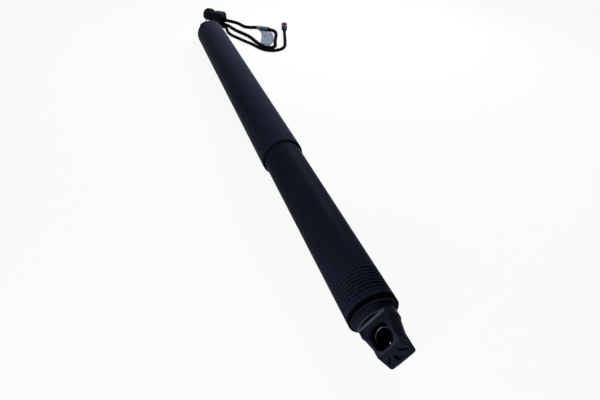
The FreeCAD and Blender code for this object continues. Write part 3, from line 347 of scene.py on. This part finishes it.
metalLooks = {
    "gearSteel": {"colour": (0.36, 0.36, 0.37), "dark": (0.24, 0.24, 0.25), "roughness": 0.26},
    "darkSteel": {"colour": (0.12, 0.12, 0.125), "dark": (0.07, 0.07, 0.075), "roughness": 0.34},
    "springSteel": {"colour": (0.50, 0.50, 0.52), "dark": (0.38, 0.38, 0.40), "roughness": 0.16},
    "zincPlate": {"colour": (0.52, 0.52, 0.50), "dark": (0.36, 0.37, 0.36), "roughness": 0.3},
    "brass": {"colour": (0.62, 0.44, 0.16), "dark": (0.45, 0.30, 0.10), "roughness": 0.25},
    "copper": {"colour": (0.60, 0.25, 0.12), "dark": (0.42, 0.15, 0.07), "roughness": 0.28},
}

metalWork = {
    "patchSize": 3.5,
    "patchRange": (0.35, 0.7),
    "lineSize": 0.5,
    "lineStretch": (2.5, 0.15, 0.15),
    "lineRange": (0.3, 0.7),
    "smoother": 0.07,
    "rougher": 0.1,
    "bump": 0.15,
    "depth": 0.01,
}


def metal(name):
    look = metalLooks[name]
    material, tree, shader = newMaterial(name)
    patches = spread(tree, noise(tree, metalWork["patchSize"], detail=5), *metalWork["patchRange"], 0, 1)
    colour = blendColours(tree, patches, look["colour"], look["dark"])
    tree.links.new(colour, shader.inputs["Base Color"])
    lines = noise(tree, metalWork["lineSize"], detail=3, stretch=metalWork["lineStretch"])
    gloss = spread(tree, lines, *metalWork["lineRange"], look["roughness"] - metalWork["smoother"],
                   look["roughness"] + metalWork["rougher"])
    tree.links.new(gloss, shader.inputs["Roughness"])
    shader.inputs["Metallic"].default_value = 1.0
    roughen(tree, shader, lines, metalWork["bump"], metalWork["depth"])
    return material


# Marks on the ball sockets, each in its cup's own frame: along from the ball's centre away from the tube,
# across the cup and out of it. The inside of the cup is painted near black as painted shade, and its wire
# ring is painted dark as painted shade except on the tube side. The face round the cup, the bar's top edge
# and the step's rim are painted lighter as painted highlights. The step's face is painted dark as painted
# shade.

cupLook = {
    "near": {"clip": "near_clip", "towardsTube": -1, "tilt": 46.0, "neck": 13.2},
    "cable_end": {"clip": "cable_end_clip", "towardsTube": 1, "tilt": -53.5, "neck": 9.7},
    "ringReach": 0.00607,       # from the ball's centre to the wire ring's outside, in metres
    "farPlace": 20.0,           # farther from the ball's centre than any mark
    "low": (-8.4, -7.2, -5.3),  # the two corners of the inside of the cup, painted near black as painted shade
    "high": (8.1, 7.2, 5.6),
    # painted shade: near black inside the cup and on the step's face
    "cupShade": (0.0005, 0.0005, 0.0010),
    # painted light: the face round the cup, lighter towards the end
    "face": (0.0175, 0.0205, 0.0320),
    "faceHeight": (6.65, 7.2),
    "faceFade": (-4.0, 3.0),
    "faceSoftness": 0.15,
    "stepTop": (8.1, 8.4),      # where the bar ends and the step's flat begins
    "stepAlong": (-12.0, -10.5),
    "stepInset": (0.85, 0.7),
    # painted highlight on the step's rim
    "rimHighlight": (0.028, 0.031, 0.046),
    "rimAlong": (-11.2, -10.2),
    "rimInset": (0.6, 0.45),
    "stepSoftness": 0.1,
    # painted highlight along the bar's top edge
    "bar": (0.050, 0.058, 0.080),
    "barPlace": (-10.7, None, 8.0),
    "barReach": 0.75,
    "barSoftness": 0.3,
    "barShare": 0.9,
    "barWearSize": 1.5,
    "barWearShare": 0.3,
}

clipLook = {
    "wire": (0.060, 0.066, 0.084),
    # dark grease patches, and painted shade on the wire away from the tube side
    "greaseAndShadeWire": (0.0035, 0.0038, 0.0060),
    "wireShadeFade": (-2.8, -0.8),
    "patchSize": 1.2,
    "patchRange": (0.3, 0.7),
    "patchShare": 0.5,
    # painted glint on the wire's cut end
    "cutEndGlint": (0.30, 0.31, 0.34),
    "cutPlace": (5.4, 1.4, 3.4),
    "cutFade": (0.7, 1.1),
    "glossSize": 0.6,
    "glossRange": (0.3, 0.7),
    "roughness": (0.18, 0.32),
}


def placeInCup(tree, side):
    look = cupLook[side]
    low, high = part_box(look["clip"])
    ring = cupLook["ringReach"]
    centre = low[0] + ring if look["towardsTube"] < 0 else high[0] - ring
    moved = addNode(tree, "ShaderNodeVectorMath", operation="SUBTRACT")
    moved.inputs[1].default_value = (millimetresInMetre * centre, 0, 0)
    tree.links.new(placeInMillimetres(tree), moved.inputs[0])
    turned = addNode(tree, "ShaderNodeVectorRotate", rotation_type="X_AXIS", invert=True)
    turned.inputs["Angle"].default_value = math.radians(look["tilt"])
    tree.links.new(moved.outputs["Vector"], turned.inputs["Vector"])
    parts = addNode(tree, "ShaderNodeSeparateXYZ")
    tree.links.new(turned.outputs["Vector"], parts.inputs["Vector"])
    far = cupLook["farPlace"]
    end = far * look["towardsTube"]
    along = spread(tree, parts.outputs["X"], -far, far, end, -end)
    return along, parts.outputs["Y"], parts.outputs["Z"]


def insideCup(tree, cup):
    inside = None
    for place, low, high in zip(cup, cupLook["low"], cupLook["high"]):
        share = nearTo(tree, place, (low + high) / 2, (high - low) / 2)
        inside = share if inside is None else times(tree, inside, share)
    return inside


def together(tree, values):
    # A vector of three values, of which some may be None.
    node = addNode(tree, "ShaderNodeCombineXYZ")
    for value, entry in zip(values, node.inputs):
        if value is not None:
            tree.links.new(value, entry)
    return node.outputs["Vector"]


def awayFrom(tree, cup, spot):
    # How far a place lies from a spot, or from a line across the cup where the spot's second value is None.
    place = together(tree, [value if aim is not None else None for value, aim in zip(cup, spot)])
    away = addNode(tree, "ShaderNodeVectorMath", operation="DISTANCE")
    away.inputs[1].default_value = [aim or 0 for aim in spot]
    tree.links.new(place, away.inputs[0])
    return away.outputs["Value"]


def awayFromAxis(tree, cup):
    length = addNode(tree, "ShaderNodeVectorMath", operation="LENGTH")
    tree.links.new(together(tree, (None, cup[1], cup[2])), length.inputs[0])
    return length.outputs["Value"]


def between(tree, value, limits, softness):
    # 1 between two limits and 0 outside them.
    low, high = limits
    return times(tree, spread(tree, value, low - softness, low + softness, 0, 1),
                 spread(tree, value, high - softness, high + softness, 1, 0))


def socketMaterial(side):
    material = speckled(side + "SocketPlastic", socketLook)
    tree = material.node_tree
    shader = tree.nodes["Principled BSDF"]
    colour = shader.inputs["Base Color"].links[0].from_socket
    cup = placeInCup(tree, side)
    along, out = cup[0], cup[2]
    # painted light on the face round the cup
    face = times(tree, between(tree, out, cupLook["faceHeight"], cupLook["faceSoftness"]),
                 spread(tree, along, *cupLook["faceFade"], 0, 1))
    colour = blendColours(tree, face, colour, cupLook["face"])
    # painted shade inside the cup
    colour = blendColours(tree, insideCup(tree, cup), colour, cupLook["cupShade"])
    axis = awayFromAxis(tree, cup)
    neck = cupLook[side]["neck"]
    aboveBar = spread(tree, out, *cupLook["stepTop"], 0, 1)
    # painted shade on the step's face, and a painted highlight on its rim
    for limits, (low, high), ends, tint in (
            (cupLook["stepAlong"], cupLook["stepInset"], (1, 0), cupLook["cupShade"]),
            (cupLook["rimAlong"], cupLook["rimInset"], (0, 1), cupLook["rimHighlight"])):
        marked = times(tree, between(tree, along, limits, cupLook["stepSoftness"]),
                       spread(tree, axis, neck - low, neck - high, *ends))
        colour = blendColours(tree, times(tree, marked, aboveBar), colour, tint)
    # painted highlight along the bar's top edge, with a noisy edge
    away = addTogether(tree, awayFrom(tree, cup, cupLook["barPlace"]),
                       noise(tree, cupLook["barWearSize"], detail=3), cupLook["barWearShare"])
    reach = cupLook["barReach"]
    barLight = spread(tree, away, reach, reach + cupLook["barSoftness"], cupLook["barShare"], 0)
    tree.links.new(blendColours(tree, barLight, colour, cupLook["bar"]), shader.inputs["Base Color"])
    return material


def clipMaterial(side):
    material, tree, shader = newMaterial(side + "ClipSteel")
    cup = placeInCup(tree, side)
    # painted shade: the wire is dark except on the tube side
    wireShade = spread(tree, cup[0], *clipLook["wireShadeFade"], 0, 1)
    patches = spread(tree, noise(tree, clipLook["patchSize"]), *clipLook["patchRange"], 0,
                     clipLook["patchShare"])
    wire = blendColours(tree, patches, clipLook["wire"], clipLook["greaseAndShadeWire"])
    wire = blendColours(tree, wireShade, wire, clipLook["greaseAndShadeWire"])
    # painted glint on the wire's cut end
    cutGlint = spread(tree, awayFrom(tree, cup, clipLook["cutPlace"]), *clipLook["cutFade"], 1, 0)
    tree.links.new(blendColours(tree, cutGlint, wire, clipLook["cutEndGlint"]), shader.inputs["Base Color"])
    gloss = spread(tree, noise(tree, clipLook["glossSize"], detail=3), *clipLook["glossRange"],
                   *clipLook["roughness"])
    tree.links.new(gloss, shader.inputs["Roughness"])
    shader.inputs["Metallic"].default_value = 1.0
    return material


finishes = {
    "nearSocket": socketMaterial("near"),
    "cableEndSocket": socketMaterial("cable_end"),
    "nearClip": clipMaterial("near"),
    "cableEndClip": clipMaterial("cable_end"),
    "outerPaint": tubePaint("outerPaint"),
    "innerPaint": tubePaint("innerPaint"),
}
finishes.update({name: speckled(name, look) for name, look in mouldedLooks.items()})
finishes.update({name: metal(name) for name in metalLooks})
print("finishes made")

nodeFinishes = {
    "outerPaint": ["outer_tube"],
    "innerPaint": ["inner_tube"],
    "nearSocket": ["near_socket"],
    "cableEndSocket": ["cable_end_socket"],
    "nearClip": ["near_clip"],
    "cableEndClip": ["cable_end_clip"],
    "rubber": ["mouth_wiper", "near_seal", "cable_end_seal", "main_cable_grommet", "signal_cable_grommet",
               "motor_dampers", "main_connector_nut"],
    "slidePlastic": ["mouth_bush", "slide_ring", "spindle_nut", "spindle_stop"],
    "gearPlastic": ["motor_cap", "brush_card", "ring_gear", "bearing_holder", "first_planet_1",
                    "first_planet_2", "first_planet_3"],
    "gearSteel": ["motor_shaft", "sun_gear", "first_carrier", "first_planet_pins", "second_planet_1",
                  "second_planet_2", "second_planet_3", "second_carrier", "second_planet_pins",
                  "clutch_drum", "bearing_outer_race", "bearing_inner_race", "bearing_balls", "spindle",
                  "spindle_collar"],
    "darkSteel": ["rotor_core", "clutch_discs", "guide_tube"],
    "springSteel": ["power_spring"],
    "zincPlate": ["motor_can", "push_tube"],
    "brass": ["motor_bearings", "main_connector_terminals"],
    "copper": ["rotor_windings", "commutator"],
    "carbon": ["brushes"],
    "magnet": ["motor_magnets", "sensor_magnet"],
    "board": ["sensor_board"],
    "wire": ["motor_leads"],
    "connectorPlastic": ["main_connector"],
    "signalConnectorPlastic": ["signal_connector"],
    "lockPlastic": ["signal_connector_lock"],
}
for finish, names in nodeFinishes.items():
    for name in names:
        nodes[name].data.materials.clear()
        nodes[name].data.materials.append(finishes[finish])


# Mesh helpers

def meshObject(name, points, faces, material, smooth=True):
    mesh = bpy.data.meshes.new(name)
    mesh.from_pydata([tuple(p) for p in points], [], faces)
    mesh.validate()
    mesh.materials.append(material)
    if smooth:
        mesh.shade_smooth()
    piece = bpy.data.objects.new(name, mesh)
    scene.collection.objects.link(piece)
    return piece


def sweep(path, ring):
    # Rings of points carried along a path without twisting. ring(travelled) gives a ring's offsets.
    points, faces = [], []
    direction = (path[1] - path[0]).normalized()
    side = direction.orthogonal().normalized()
    travelled = 0.0
    for number, place in enumerate(path):
        after = path[min(number + 1, len(path) - 1)]
        before = path[max(number - 1, 0)]
        newDirection = (after - before).normalized()
        side = (side - newDirection * side.dot(newDirection)).normalized()
        other = newDirection.cross(side)
        if number:
            travelled += (place - path[number - 1]).length
        offsets = ring(travelled)
        points += [place + side * a + other * b for a, b in offsets]
        count = len(offsets)
    for number in range(len(path) - 1):
        low = number * count
        for step in range(count):
            after = (step + 1) % count
            faces.append((low + step, low + after, low + count + after, low + count + step))
    faces.append(tuple(reversed(range(count))))
    faces.append(tuple(range((len(path) - 1) * count, len(path) * count)))
    return points, faces


# The two cables lie on the table. Their routes and sizes are in metres.

mainCable = {
    "route": [
        (0.0075, 0.0132, 0.0), (-0.0075, 0.0132, 0.0), (-0.021, 0.0123, -0.0046), (-0.034, 0.0096, -0.0106),
        (-0.0473, 0.007, -0.0151), (-0.061, 0.008, -0.0163), (-0.0714, 0.0162, -0.0163),
        (-0.0728, 0.0292, -0.0163), (-0.0628, 0.0396, -0.0163), (-0.0465, 0.0433, -0.0163),
        (-0.0295, 0.0476, -0.0163), (-0.0115, 0.0557, -0.0163), (0.007, 0.0618, -0.0163),
        (0.026, 0.0638, -0.0163), (0.0425, 0.0674, -0.0163), (0.0546, 0.0712, -0.0163),
        (0.06, 0.0796, -0.0163), (0.0538, 0.0872, -0.0163), (0.0405, 0.0901, -0.0163),
        (0.024, 0.0962, -0.0162), (0.009, 0.1024, -0.016), (-0.0042, 0.1042, -0.0157),
        (-0.0138, 0.0988, -0.0155), (-0.0227, 0.0902, -0.0155), (-0.0312, 0.0808, -0.0155),
        (-0.0342, 0.0704, -0.0156), (-0.0422, 0.0622, -0.0153), (-0.0532, 0.0584, -0.0138),
        (-0.064564, 0.047878, -0.0126), (-0.073679, 0.040073, -0.0126),
    ],
    "diameter": 0.0054,
    "waist": 0.86,      # the narrow side of the twisted pair, as a share of the diameter
    "lay": 0.0078,      # one full twist
}

signalCable = {
    "route": [
        (0.0075, 0.009334, -0.009334), (-0.006, 0.009334, -0.009334), (-0.0182, 0.0092, -0.0144),
        (-0.0292, 0.0092, -0.0166), (-0.0385, 0.0128, -0.0166), (-0.049, 0.0154, -0.0166),
        (-0.0582, 0.0213, -0.0166), (-0.0586, 0.031, -0.0166), (-0.0508, 0.036, -0.0166),
        (-0.0402, 0.0352, -0.0166), (-0.0275, 0.0336, -0.0166), (-0.013, 0.0362, -0.0166),
        (0.0035, 0.0432, -0.0166), (0.02, 0.0499, -0.0166), (0.0348, 0.0572, -0.0166),
        (0.0492, 0.0612, -0.0166), (0.0623, 0.0674, -0.0166), (0.0698, 0.0776, -0.0166),
        (0.0694, 0.09, -0.0166), (0.061, 0.099, -0.0166), (0.0475, 0.1038, -0.0166),
        (0.0295, 0.1096, -0.0164), (0.01231, 0.11459, -0.015), (-0.003, 0.1195, -0.015),
    ],
    "diameter": 0.0048,
    "waist": 0.86,
    "lay": 0.0070,
}

cableLook = {               # what both cables share
    "step": 0.0005,         # along the cable, between two rings of points
    "sides": 20,
    "taper": 0.006,         # round at its ends, twisted from here on
    "bulge": 1.4,           # how sharply the two strands stand out
    "colour": (0.0008, 0.0009, 0.0016),
    "thread": (0.0036, 0.0040, 0.0062),
    "threadWidth": 0.45,
    "threadSlopes": ((1, 0.6, 0.4), (1, -0.6, -0.4)),
    "waver": 1.2,
    "threadRange": (0.6, 1.8),
    "glossRange": (0.2, 1.8),
    "roughness": (0.7, 0.5),
    "specular": 0.01,
    "bump": 0.5,
    "depth": 0.12,
}


def sleeveMaterial():
    # Woven sleeve: two sets of threads that cross, over a dull black ground.
    material, tree, shader = newMaterial("cableSleeve")
    weave = []
    for slope in cableLook["threadSlopes"]:
        wave = addNode(tree, "ShaderNodeTexWave", {"Scale": 1.0 / cableLook["threadWidth"], "Detail": 1.0,
                                                   "Distortion": cableLook["waver"]},
                       bands_direction="DIAGONAL")
        tree.links.new(placeInMillimetres(tree, slope), wave.inputs["Vector"])
        weave.append(wave.outputs["Fac"])
    threads = addTogether(tree, weave[0], weave[1], 1.0)
    raised = spread(tree, threads, *cableLook["threadRange"], 0, 1)
    colour = blendColours(tree, raised, cableLook["colour"], cableLook["thread"])
    tree.links.new(colour, shader.inputs["Base Color"])
    tree.links.new(spread(tree, threads, *cableLook["glossRange"], *cableLook["roughness"]),
                   shader.inputs["Roughness"])
    shader.inputs["Specular IOR Level"].default_value = cableLook["specular"]
    roughen(tree, shader, threads, cableLook["bump"], cableLook["depth"])
    return material


cableSleeve = sleeveMaterial()


def splinePath(name, route, step):
    # The line that a NURBS spline takes past the route's points, read as evenly spaced places.
    data = bpy.data.curves.new(name, "CURVE")
    data.dimensions = "3D"
    data.resolution_u = 24
    spline = data.splines.new("NURBS")
    spline.points.add(len(route) - 1)
    for point, place in zip(spline.points, route):
        point.co = (*place, 1)
    spline.order_u = 3
    spline.use_endpoint_u = True
    guide = bpy.data.objects.new(name, data)
    scene.collection.objects.link(guide)
    mesh = bpy.data.meshes.new_from_object(guide)
    line = [vertex.co.copy() for vertex in mesh.vertices]
    bpy.data.objects.remove(guide)
    lengths = [0.0]
    for low, high in zip(line, line[1:]):
        lengths.append(lengths[-1] + (high - low).length)
    count = int(lengths[-1] / step)
    path, segment = [], 0
    for number in range(count + 1):
        wanted = lengths[-1] * number / count
        while segment < len(lengths) - 2 and lengths[segment + 1] < wanted:
            segment += 1
        share = (wanted - lengths[segment]) / (lengths[segment + 1] - lengths[segment])
        path.append(line[segment].lerp(line[segment + 1], share))
    return path, lengths[-1]


def makeCable(name, cable, node):
    path, length = splinePath(name + "Guide", cable["route"], cableLook["step"])
    radius = cable["diameter"] / 2
    sides = cableLook["sides"]

    def ring(travelled):
        ends = min(travelled, length - travelled) / cableLook["taper"]
        waist = 1 - (1 - cable["waist"]) * max(0.0, min(1.0, ends))
        turn = 2 * math.pi * travelled / cable["lay"]
        offsets = []
        for side in range(sides):
            angle = 2 * math.pi * side / sides
            bulge = abs(math.cos(angle - turn)) ** cableLook["bulge"]
            reach = radius * (waist + (1 - waist) * bulge)
            offsets.append((reach * math.cos(angle), reach * math.sin(angle)))
        return offsets

    points, faces = sweep(path, ring)
    piece = meshObject(name, points, faces, cableSleeve)
    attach(piece, "housing")
    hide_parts(node)
    print(name, "length", round(length, 4))


# Blank flag label: a film loop round the main cable with its two ends lying together on the table

labelLook = {
    "colour": (0.085, 0.112, 0.155),
    "secondColour": (0.110, 0.140, 0.185),
    "cloud": 9.0,
    "cloudRange": (0.35, 0.65),
    "foldTint": (0.42, 0.36, 0.42),
    "foldTintPlace": (-9.0, 98.0, -18.0),
    "endTint": (0.40, 0.45, 0.34),
    "endTintPlace": (-28.5, 84.0, -14.0),
    "tintReach": 7.0,
    "tintShare": 0.8,
    "creaseSize": 5.0,
    "creaseStretch": (1, 0.4, 1),
    "creaseRange": (0.3, 0.7),
    "creaseBump": 0.3,
    "creaseDepth": 0.15,
    "specular": 0.12,
    "roughness": (0.34, 0.52),
    "lightThrough": 0.2,
    "lightDepth": 0.001,        # this and the sizes below are in metres
    "width": 0.019,
    "film": 0.0003,
    "drawnFilm": 0.5,           # of the film's thickness, so that its layers stay apart
    "atPoint": 23,              # of the main cable's route
    "loopGap": 0.00045,
    "nearEdge": [(-0.0161, 0.0970), (-0.0065, 0.0999), (0.0069, 0.0979), (0.0235, 0.0931), (0.0368, 0.0874),
                 (0.0461, 0.0799)],
    "farEdge": [(-0.0293, 0.0834), (-0.0200, 0.0853), (-0.0033, 0.0820), (0.0111, 0.0774), (0.0237, 0.0729),
                (0.0315, 0.0710)],
    "edgeStep": 0.001,
    "rows": 16,                 # across the film
    "stations": 44,             # along each of its two ends
    "loopSteps": 26,
    "loopTurn": -315,           # degrees that the film goes round the cable, from straight below it
    "fallStart": 3,             # the station where the loop becomes the upper layer
    "fallReach": 0.22,          # how far along that layer lies down
    "fallHeight": 0.5,          # in loop radii
    "lowerHeight": 0.6,         # in film thicknesses
    "upperHeight": 2.0,
    "lowerWave": 0.25,
    "upperWave": 1.0,
    "wave": 0.0007,
    "longRipple": (9, 3.1),     # how fast a ripple runs along the film and across it
    "crossRipple": (2, 5),
    "rippleStart": 0.25,        # how far along the film the ripples reach their height
}


def labelMaterial():
    material, tree, shader = newMaterial("labelFilm")
    cloud = spread(tree, noise(tree, labelLook["cloud"], detail=3), *labelLook["cloudRange"], 0, 1)
    colour = blendColours(tree, cloud, labelLook["colour"], labelLook["secondColour"])
    for tint in ("foldTint", "endTint"):
        away = addNode(tree, "ShaderNodeVectorMath", operation="DISTANCE")
        away.inputs[1].default_value = labelLook[tint + "Place"]
        tree.links.new(placeInMillimetres(tree), away.inputs[0])
        near = spread(tree, away.outputs["Value"], 0, labelLook["tintReach"], labelLook["tintShare"], 0)
        colour = blendColours(tree, near, colour, labelLook[tint])
    tree.links.new(colour, shader.inputs["Base Color"])
    crease = noise(tree, labelLook["creaseSize"], stretch=labelLook["creaseStretch"])
    tree.links.new(spread(tree, crease, *labelLook["creaseRange"], *labelLook["roughness"]),
                   shader.inputs["Roughness"])
    shader.inputs["Specular IOR Level"].default_value = labelLook["specular"]
    shader.inputs["Subsurface Weight"].default_value = labelLook["lightThrough"]
    shader.inputs["Subsurface Scale"].default_value = labelLook["lightDepth"]
    roughen(tree, shader, crease, labelLook["creaseBump"], labelLook["creaseDepth"])
    return material


def makeLabel():
    look = labelLook
    route = [Vector(place) for place in mainCable["route"]]
    spot = look["atPoint"]
    along = (route[spot + 1] - route[spot - 1]).normalized()
    side = Vector((-along.y, along.x, 0))
    start = route[spot] - along * look["width"] / 2
    end = route[spot] + along * look["width"] / 2
    film = look["film"]
    radius = mainCable["diameter"] / 2 + look["loopGap"] + film / 2
    edges = [splinePath(name, [(x, y, tableHeight) for x, y in look[name]], look["edgeStep"])[0]
             for name in ("nearEdge", "farEdge")]
    rows, stations = look["rows"], look["stations"]
    strips = []

    def flagStrip(out, height, lift):
        # One row of points across the film. out is 0 at the cable and 1 at the free end.
        first, last = (edge[round(out * (len(edge) - 1))] for edge in edges)
        strip = []
        for row in range(rows + 1):
            share = row / rows
            ripple = 0.5
            for lengthwise, crosswise in (look["longRipple"], look["crossRipple"]):
                ripple *= math.sin(lengthwise * out + crosswise * share)
            rise = height + lift * look["wave"] * (0.5 + ripple) * min(1, out / look["rippleStart"])
            strip.append(first.lerp(last, share) + Vector((0, 0, rise)))
        return strip

    for number in range(stations):          # lower layer, from the free end to the cable
        strips.append(flagStrip(1 - number / stations, film * look["lowerHeight"], look["lowerWave"]))
    for number in range(look["loopSteps"] + 1):
        angle = -math.pi / 2 + math.radians(look["loopTurn"]) * number / look["loopSteps"]
        offset = side * (radius * math.cos(angle)) + Vector((0, 0, radius * math.sin(angle)))
        strips.append([start.lerp(end, row / rows) + offset for row in range(rows + 1)])
    for number in range(look["fallStart"], stations + 1):   # upper layer, back to the free end
        out = number / stations
        fall = (1 - min(1, out / look["fallReach"])) ** 2 * radius * look["fallHeight"]
        strips.append(flagStrip(out, film * look["upperHeight"] + fall, look["upperWave"]))
    points = [place for strip in strips for place in strip]
    faces = []
    for number in range(len(strips) - 1):
        for row in range(rows):
            low = number * (rows + 1) + row
            faces.append((low, low + 1, low + rows + 2, low + rows + 1))
    piece = meshObject("labelFlag", points, faces, labelMaterial())
    thick = piece.modifiers.new("film", "SOLIDIFY")
    thick.thickness = film * look["drawnFilm"]
    thick.offset = 0
    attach(piece, "housing")
    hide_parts("cable_label")
    return piece


label = makeLabel()
makeCable("mainCable", mainCable, "main_cable")
makeCable("signalCable", signalCable, "signal_cable")
print("cables and label made")


# Power spring between the guide tube's flange and the near plug, drawn at one length; the real spring
# shortens with the strut.

springLook = {
    "wire": 0.003,
    "radius": 0.0135,
    "turns": 30,
    "shortest": 0.15,       # when the strut is closed
    "stepsInTurn": 24,
    "wireSides": 10,
}


def makeSpring():
    look = springLook
    low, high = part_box("power_spring")
    start = low[0] + look["wire"] / 2
    end = high[0] - look["wire"] / 2
    path = []
    steps = look["turns"] * look["stepsInTurn"]
    for step in range(steps + 1):
        angle = 2 * math.pi * look["turns"] * step / steps
        path.append(Vector((start + (end - start) * step / steps, look["radius"] * math.sin(angle),
                            look["radius"] * math.cos(angle))))
    sides = look["wireSides"]
    circle = [(look["wire"] / 2 * math.cos(2 * math.pi * side / sides),
               look["wire"] / 2 * math.sin(2 * math.pi * side / sides)) for side in range(sides)]
    points, faces = sweep(path, lambda travelled: circle)
    piece = meshObject("powerSpring", points, faces, finishes["springSteel"])
    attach(piece, "housing")
    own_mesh(piece)
    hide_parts("power_spring")


makeSpring()
print("spring made")


# Floor, light and camera

stageLook = {
    "floorColour": (0.60, 0.60, 0.61),
    "floorShade": 0.99,      # the floor's faint clouds, as a share of its colour
    "floorCloud": 400.0,
    "floorCloudRange": (0.3, 0.7),
    "floorRoughness": 0.9,
    "floorSize": 6.0,
    "floorGlow": 0.93,       # how much of the white that the camera or a reflection sees is the floor's own
    "worldStrength": 0.11,
    "cameraPlace": (0.6625, -0.09499, 0.22241),
    "cameraRight": (0.34028, 0.94032, 0.0),
    "cameraUp": (-0.60691, 0.21963, 0.76382),
    "lens": 26.0,
    "sensorWidth": 36.0,
    "nearestSeen": 0.01,
}

lampLooks = {
    "overhead": {"place": (0.15, 0.3, 1.6), "aim": (0.3, 0.0, 0.0), "size": 1.4, "power": 1.5},
    "key": {"place": (0.0, 0.31, 0.30), "aim": (0.12, 0.0, 0.0), "size": 0.3, "power": 3.6},
    "left": {"place": (0.72, -0.26, 0.07), "aim": (0.548, 0.0, 0.0), "size": 0.2, "power": 1.3},
}


def raysThatSeeWhite(tree):
    # 1 where the camera, a reflection or a ray through glass sees the surface, otherwise 0.
    seen = addNode(tree, "ShaderNodeLightPath")
    pair = addNode(tree, "ShaderNodeMath", operation="ADD")
    tree.links.new(seen.outputs["Is Camera Ray"], pair.inputs[0])
    tree.links.new(seen.outputs["Is Glossy Ray"], pair.inputs[1])
    every = addNode(tree, "ShaderNodeMath", operation="ADD", use_clamp=True)
    tree.links.new(pair.outputs["Value"], every.inputs[0])
    tree.links.new(seen.outputs["Is Transmission Ray"], every.inputs[1])
    return every.outputs["Value"]


def makeFloor():
    half = stageLook["floorSize"] / 2
    material, tree, shader = newMaterial("floor")
    colour = stageLook["floorColour"]
    cloud = spread(tree, noise(tree, stageLook["floorCloud"], detail=2), *stageLook["floorCloudRange"], 0, 1)
    tint = blendColours(tree, cloud, colour, tuple(stageLook["floorShade"] * part for part in colour))
    tree.links.new(tint, shader.inputs["Base Color"])
    shader.inputs["Roughness"].default_value = stageLook["floorRoughness"]
    shader.inputs["Specular IOR Level"].default_value = 0.0
    glow = addNode(tree, "ShaderNodeEmission", {"Color": (1, 1, 1, 1), "Strength": 1.0})
    mix = addNode(tree, "ShaderNodeMixShader")
    share = spread(tree, raysThatSeeWhite(tree), 0, 1, 0, stageLook["floorGlow"])
    tree.links.new(share, mix.inputs["Fac"])
    tree.links.new(shader.outputs["BSDF"], mix.inputs[1])
    tree.links.new(glow.outputs["Emission"], mix.inputs[2])
    tree.links.new(mix.outputs["Shader"], tree.nodes["Material Output"].inputs["Surface"])
    corners = [(-half, -half, tableHeight), (half, -half, tableHeight), (half, half, tableHeight),
               (-half, half, tableHeight)]
    floor = meshObject("floor", corners, [(0, 1, 2, 3)], material, smooth=False)


def makeWorld():
    world = bpy.data.worlds.new("world")
    scene.world = world
    world.use_nodes = True
    tree = world.node_tree
    background = tree.nodes["Background"]
    background.inputs["Color"].default_value = (1, 1, 1, 1)
    strength = spread(tree, raysThatSeeWhite(tree), 0, 1, stageLook["worldStrength"], 1.0)
    tree.links.new(strength, background.inputs["Strength"])


def makeLamps():
    for name, look in lampLooks.items():
        data = bpy.data.lights.new(name, "AREA")
        data.energy = look["power"]
        data.shape = "DISK"
        data.size = look["size"]
        lamp = bpy.data.objects.new(name, data)
        lamp.location = look["place"]
        away = Vector(look["place"]) - Vector(look["aim"])
        lamp.rotation_euler = away.to_track_quat("Z", "Y").to_euler()
        lamp.visible_camera = False
        scene.collection.objects.link(lamp)


def makeCamera():
    data = bpy.data.cameras.new("camera")
    data.lens = stageLook["lens"]
    data.sensor_width = stageLook["sensorWidth"]
    data.clip_start = stageLook["nearestSeen"]
    camera = bpy.data.objects.new("camera", data)
    right = Vector(stageLook["cameraRight"]).normalized()
    up = Vector(stageLook["cameraUp"]).normalized()
    back = right.cross(up)
    turn = Matrix((right, up, back)).transposed().to_4x4()
    camera.matrix_world = Matrix.Translation(stageLook["cameraPlace"]) @ turn
    scene.collection.objects.link(camera)
    scene.camera = camera


makeFloor()
makeWorld()
makeLamps()
makeCamera()
scene.view_settings.view_transform = "Standard"
print("stage made")
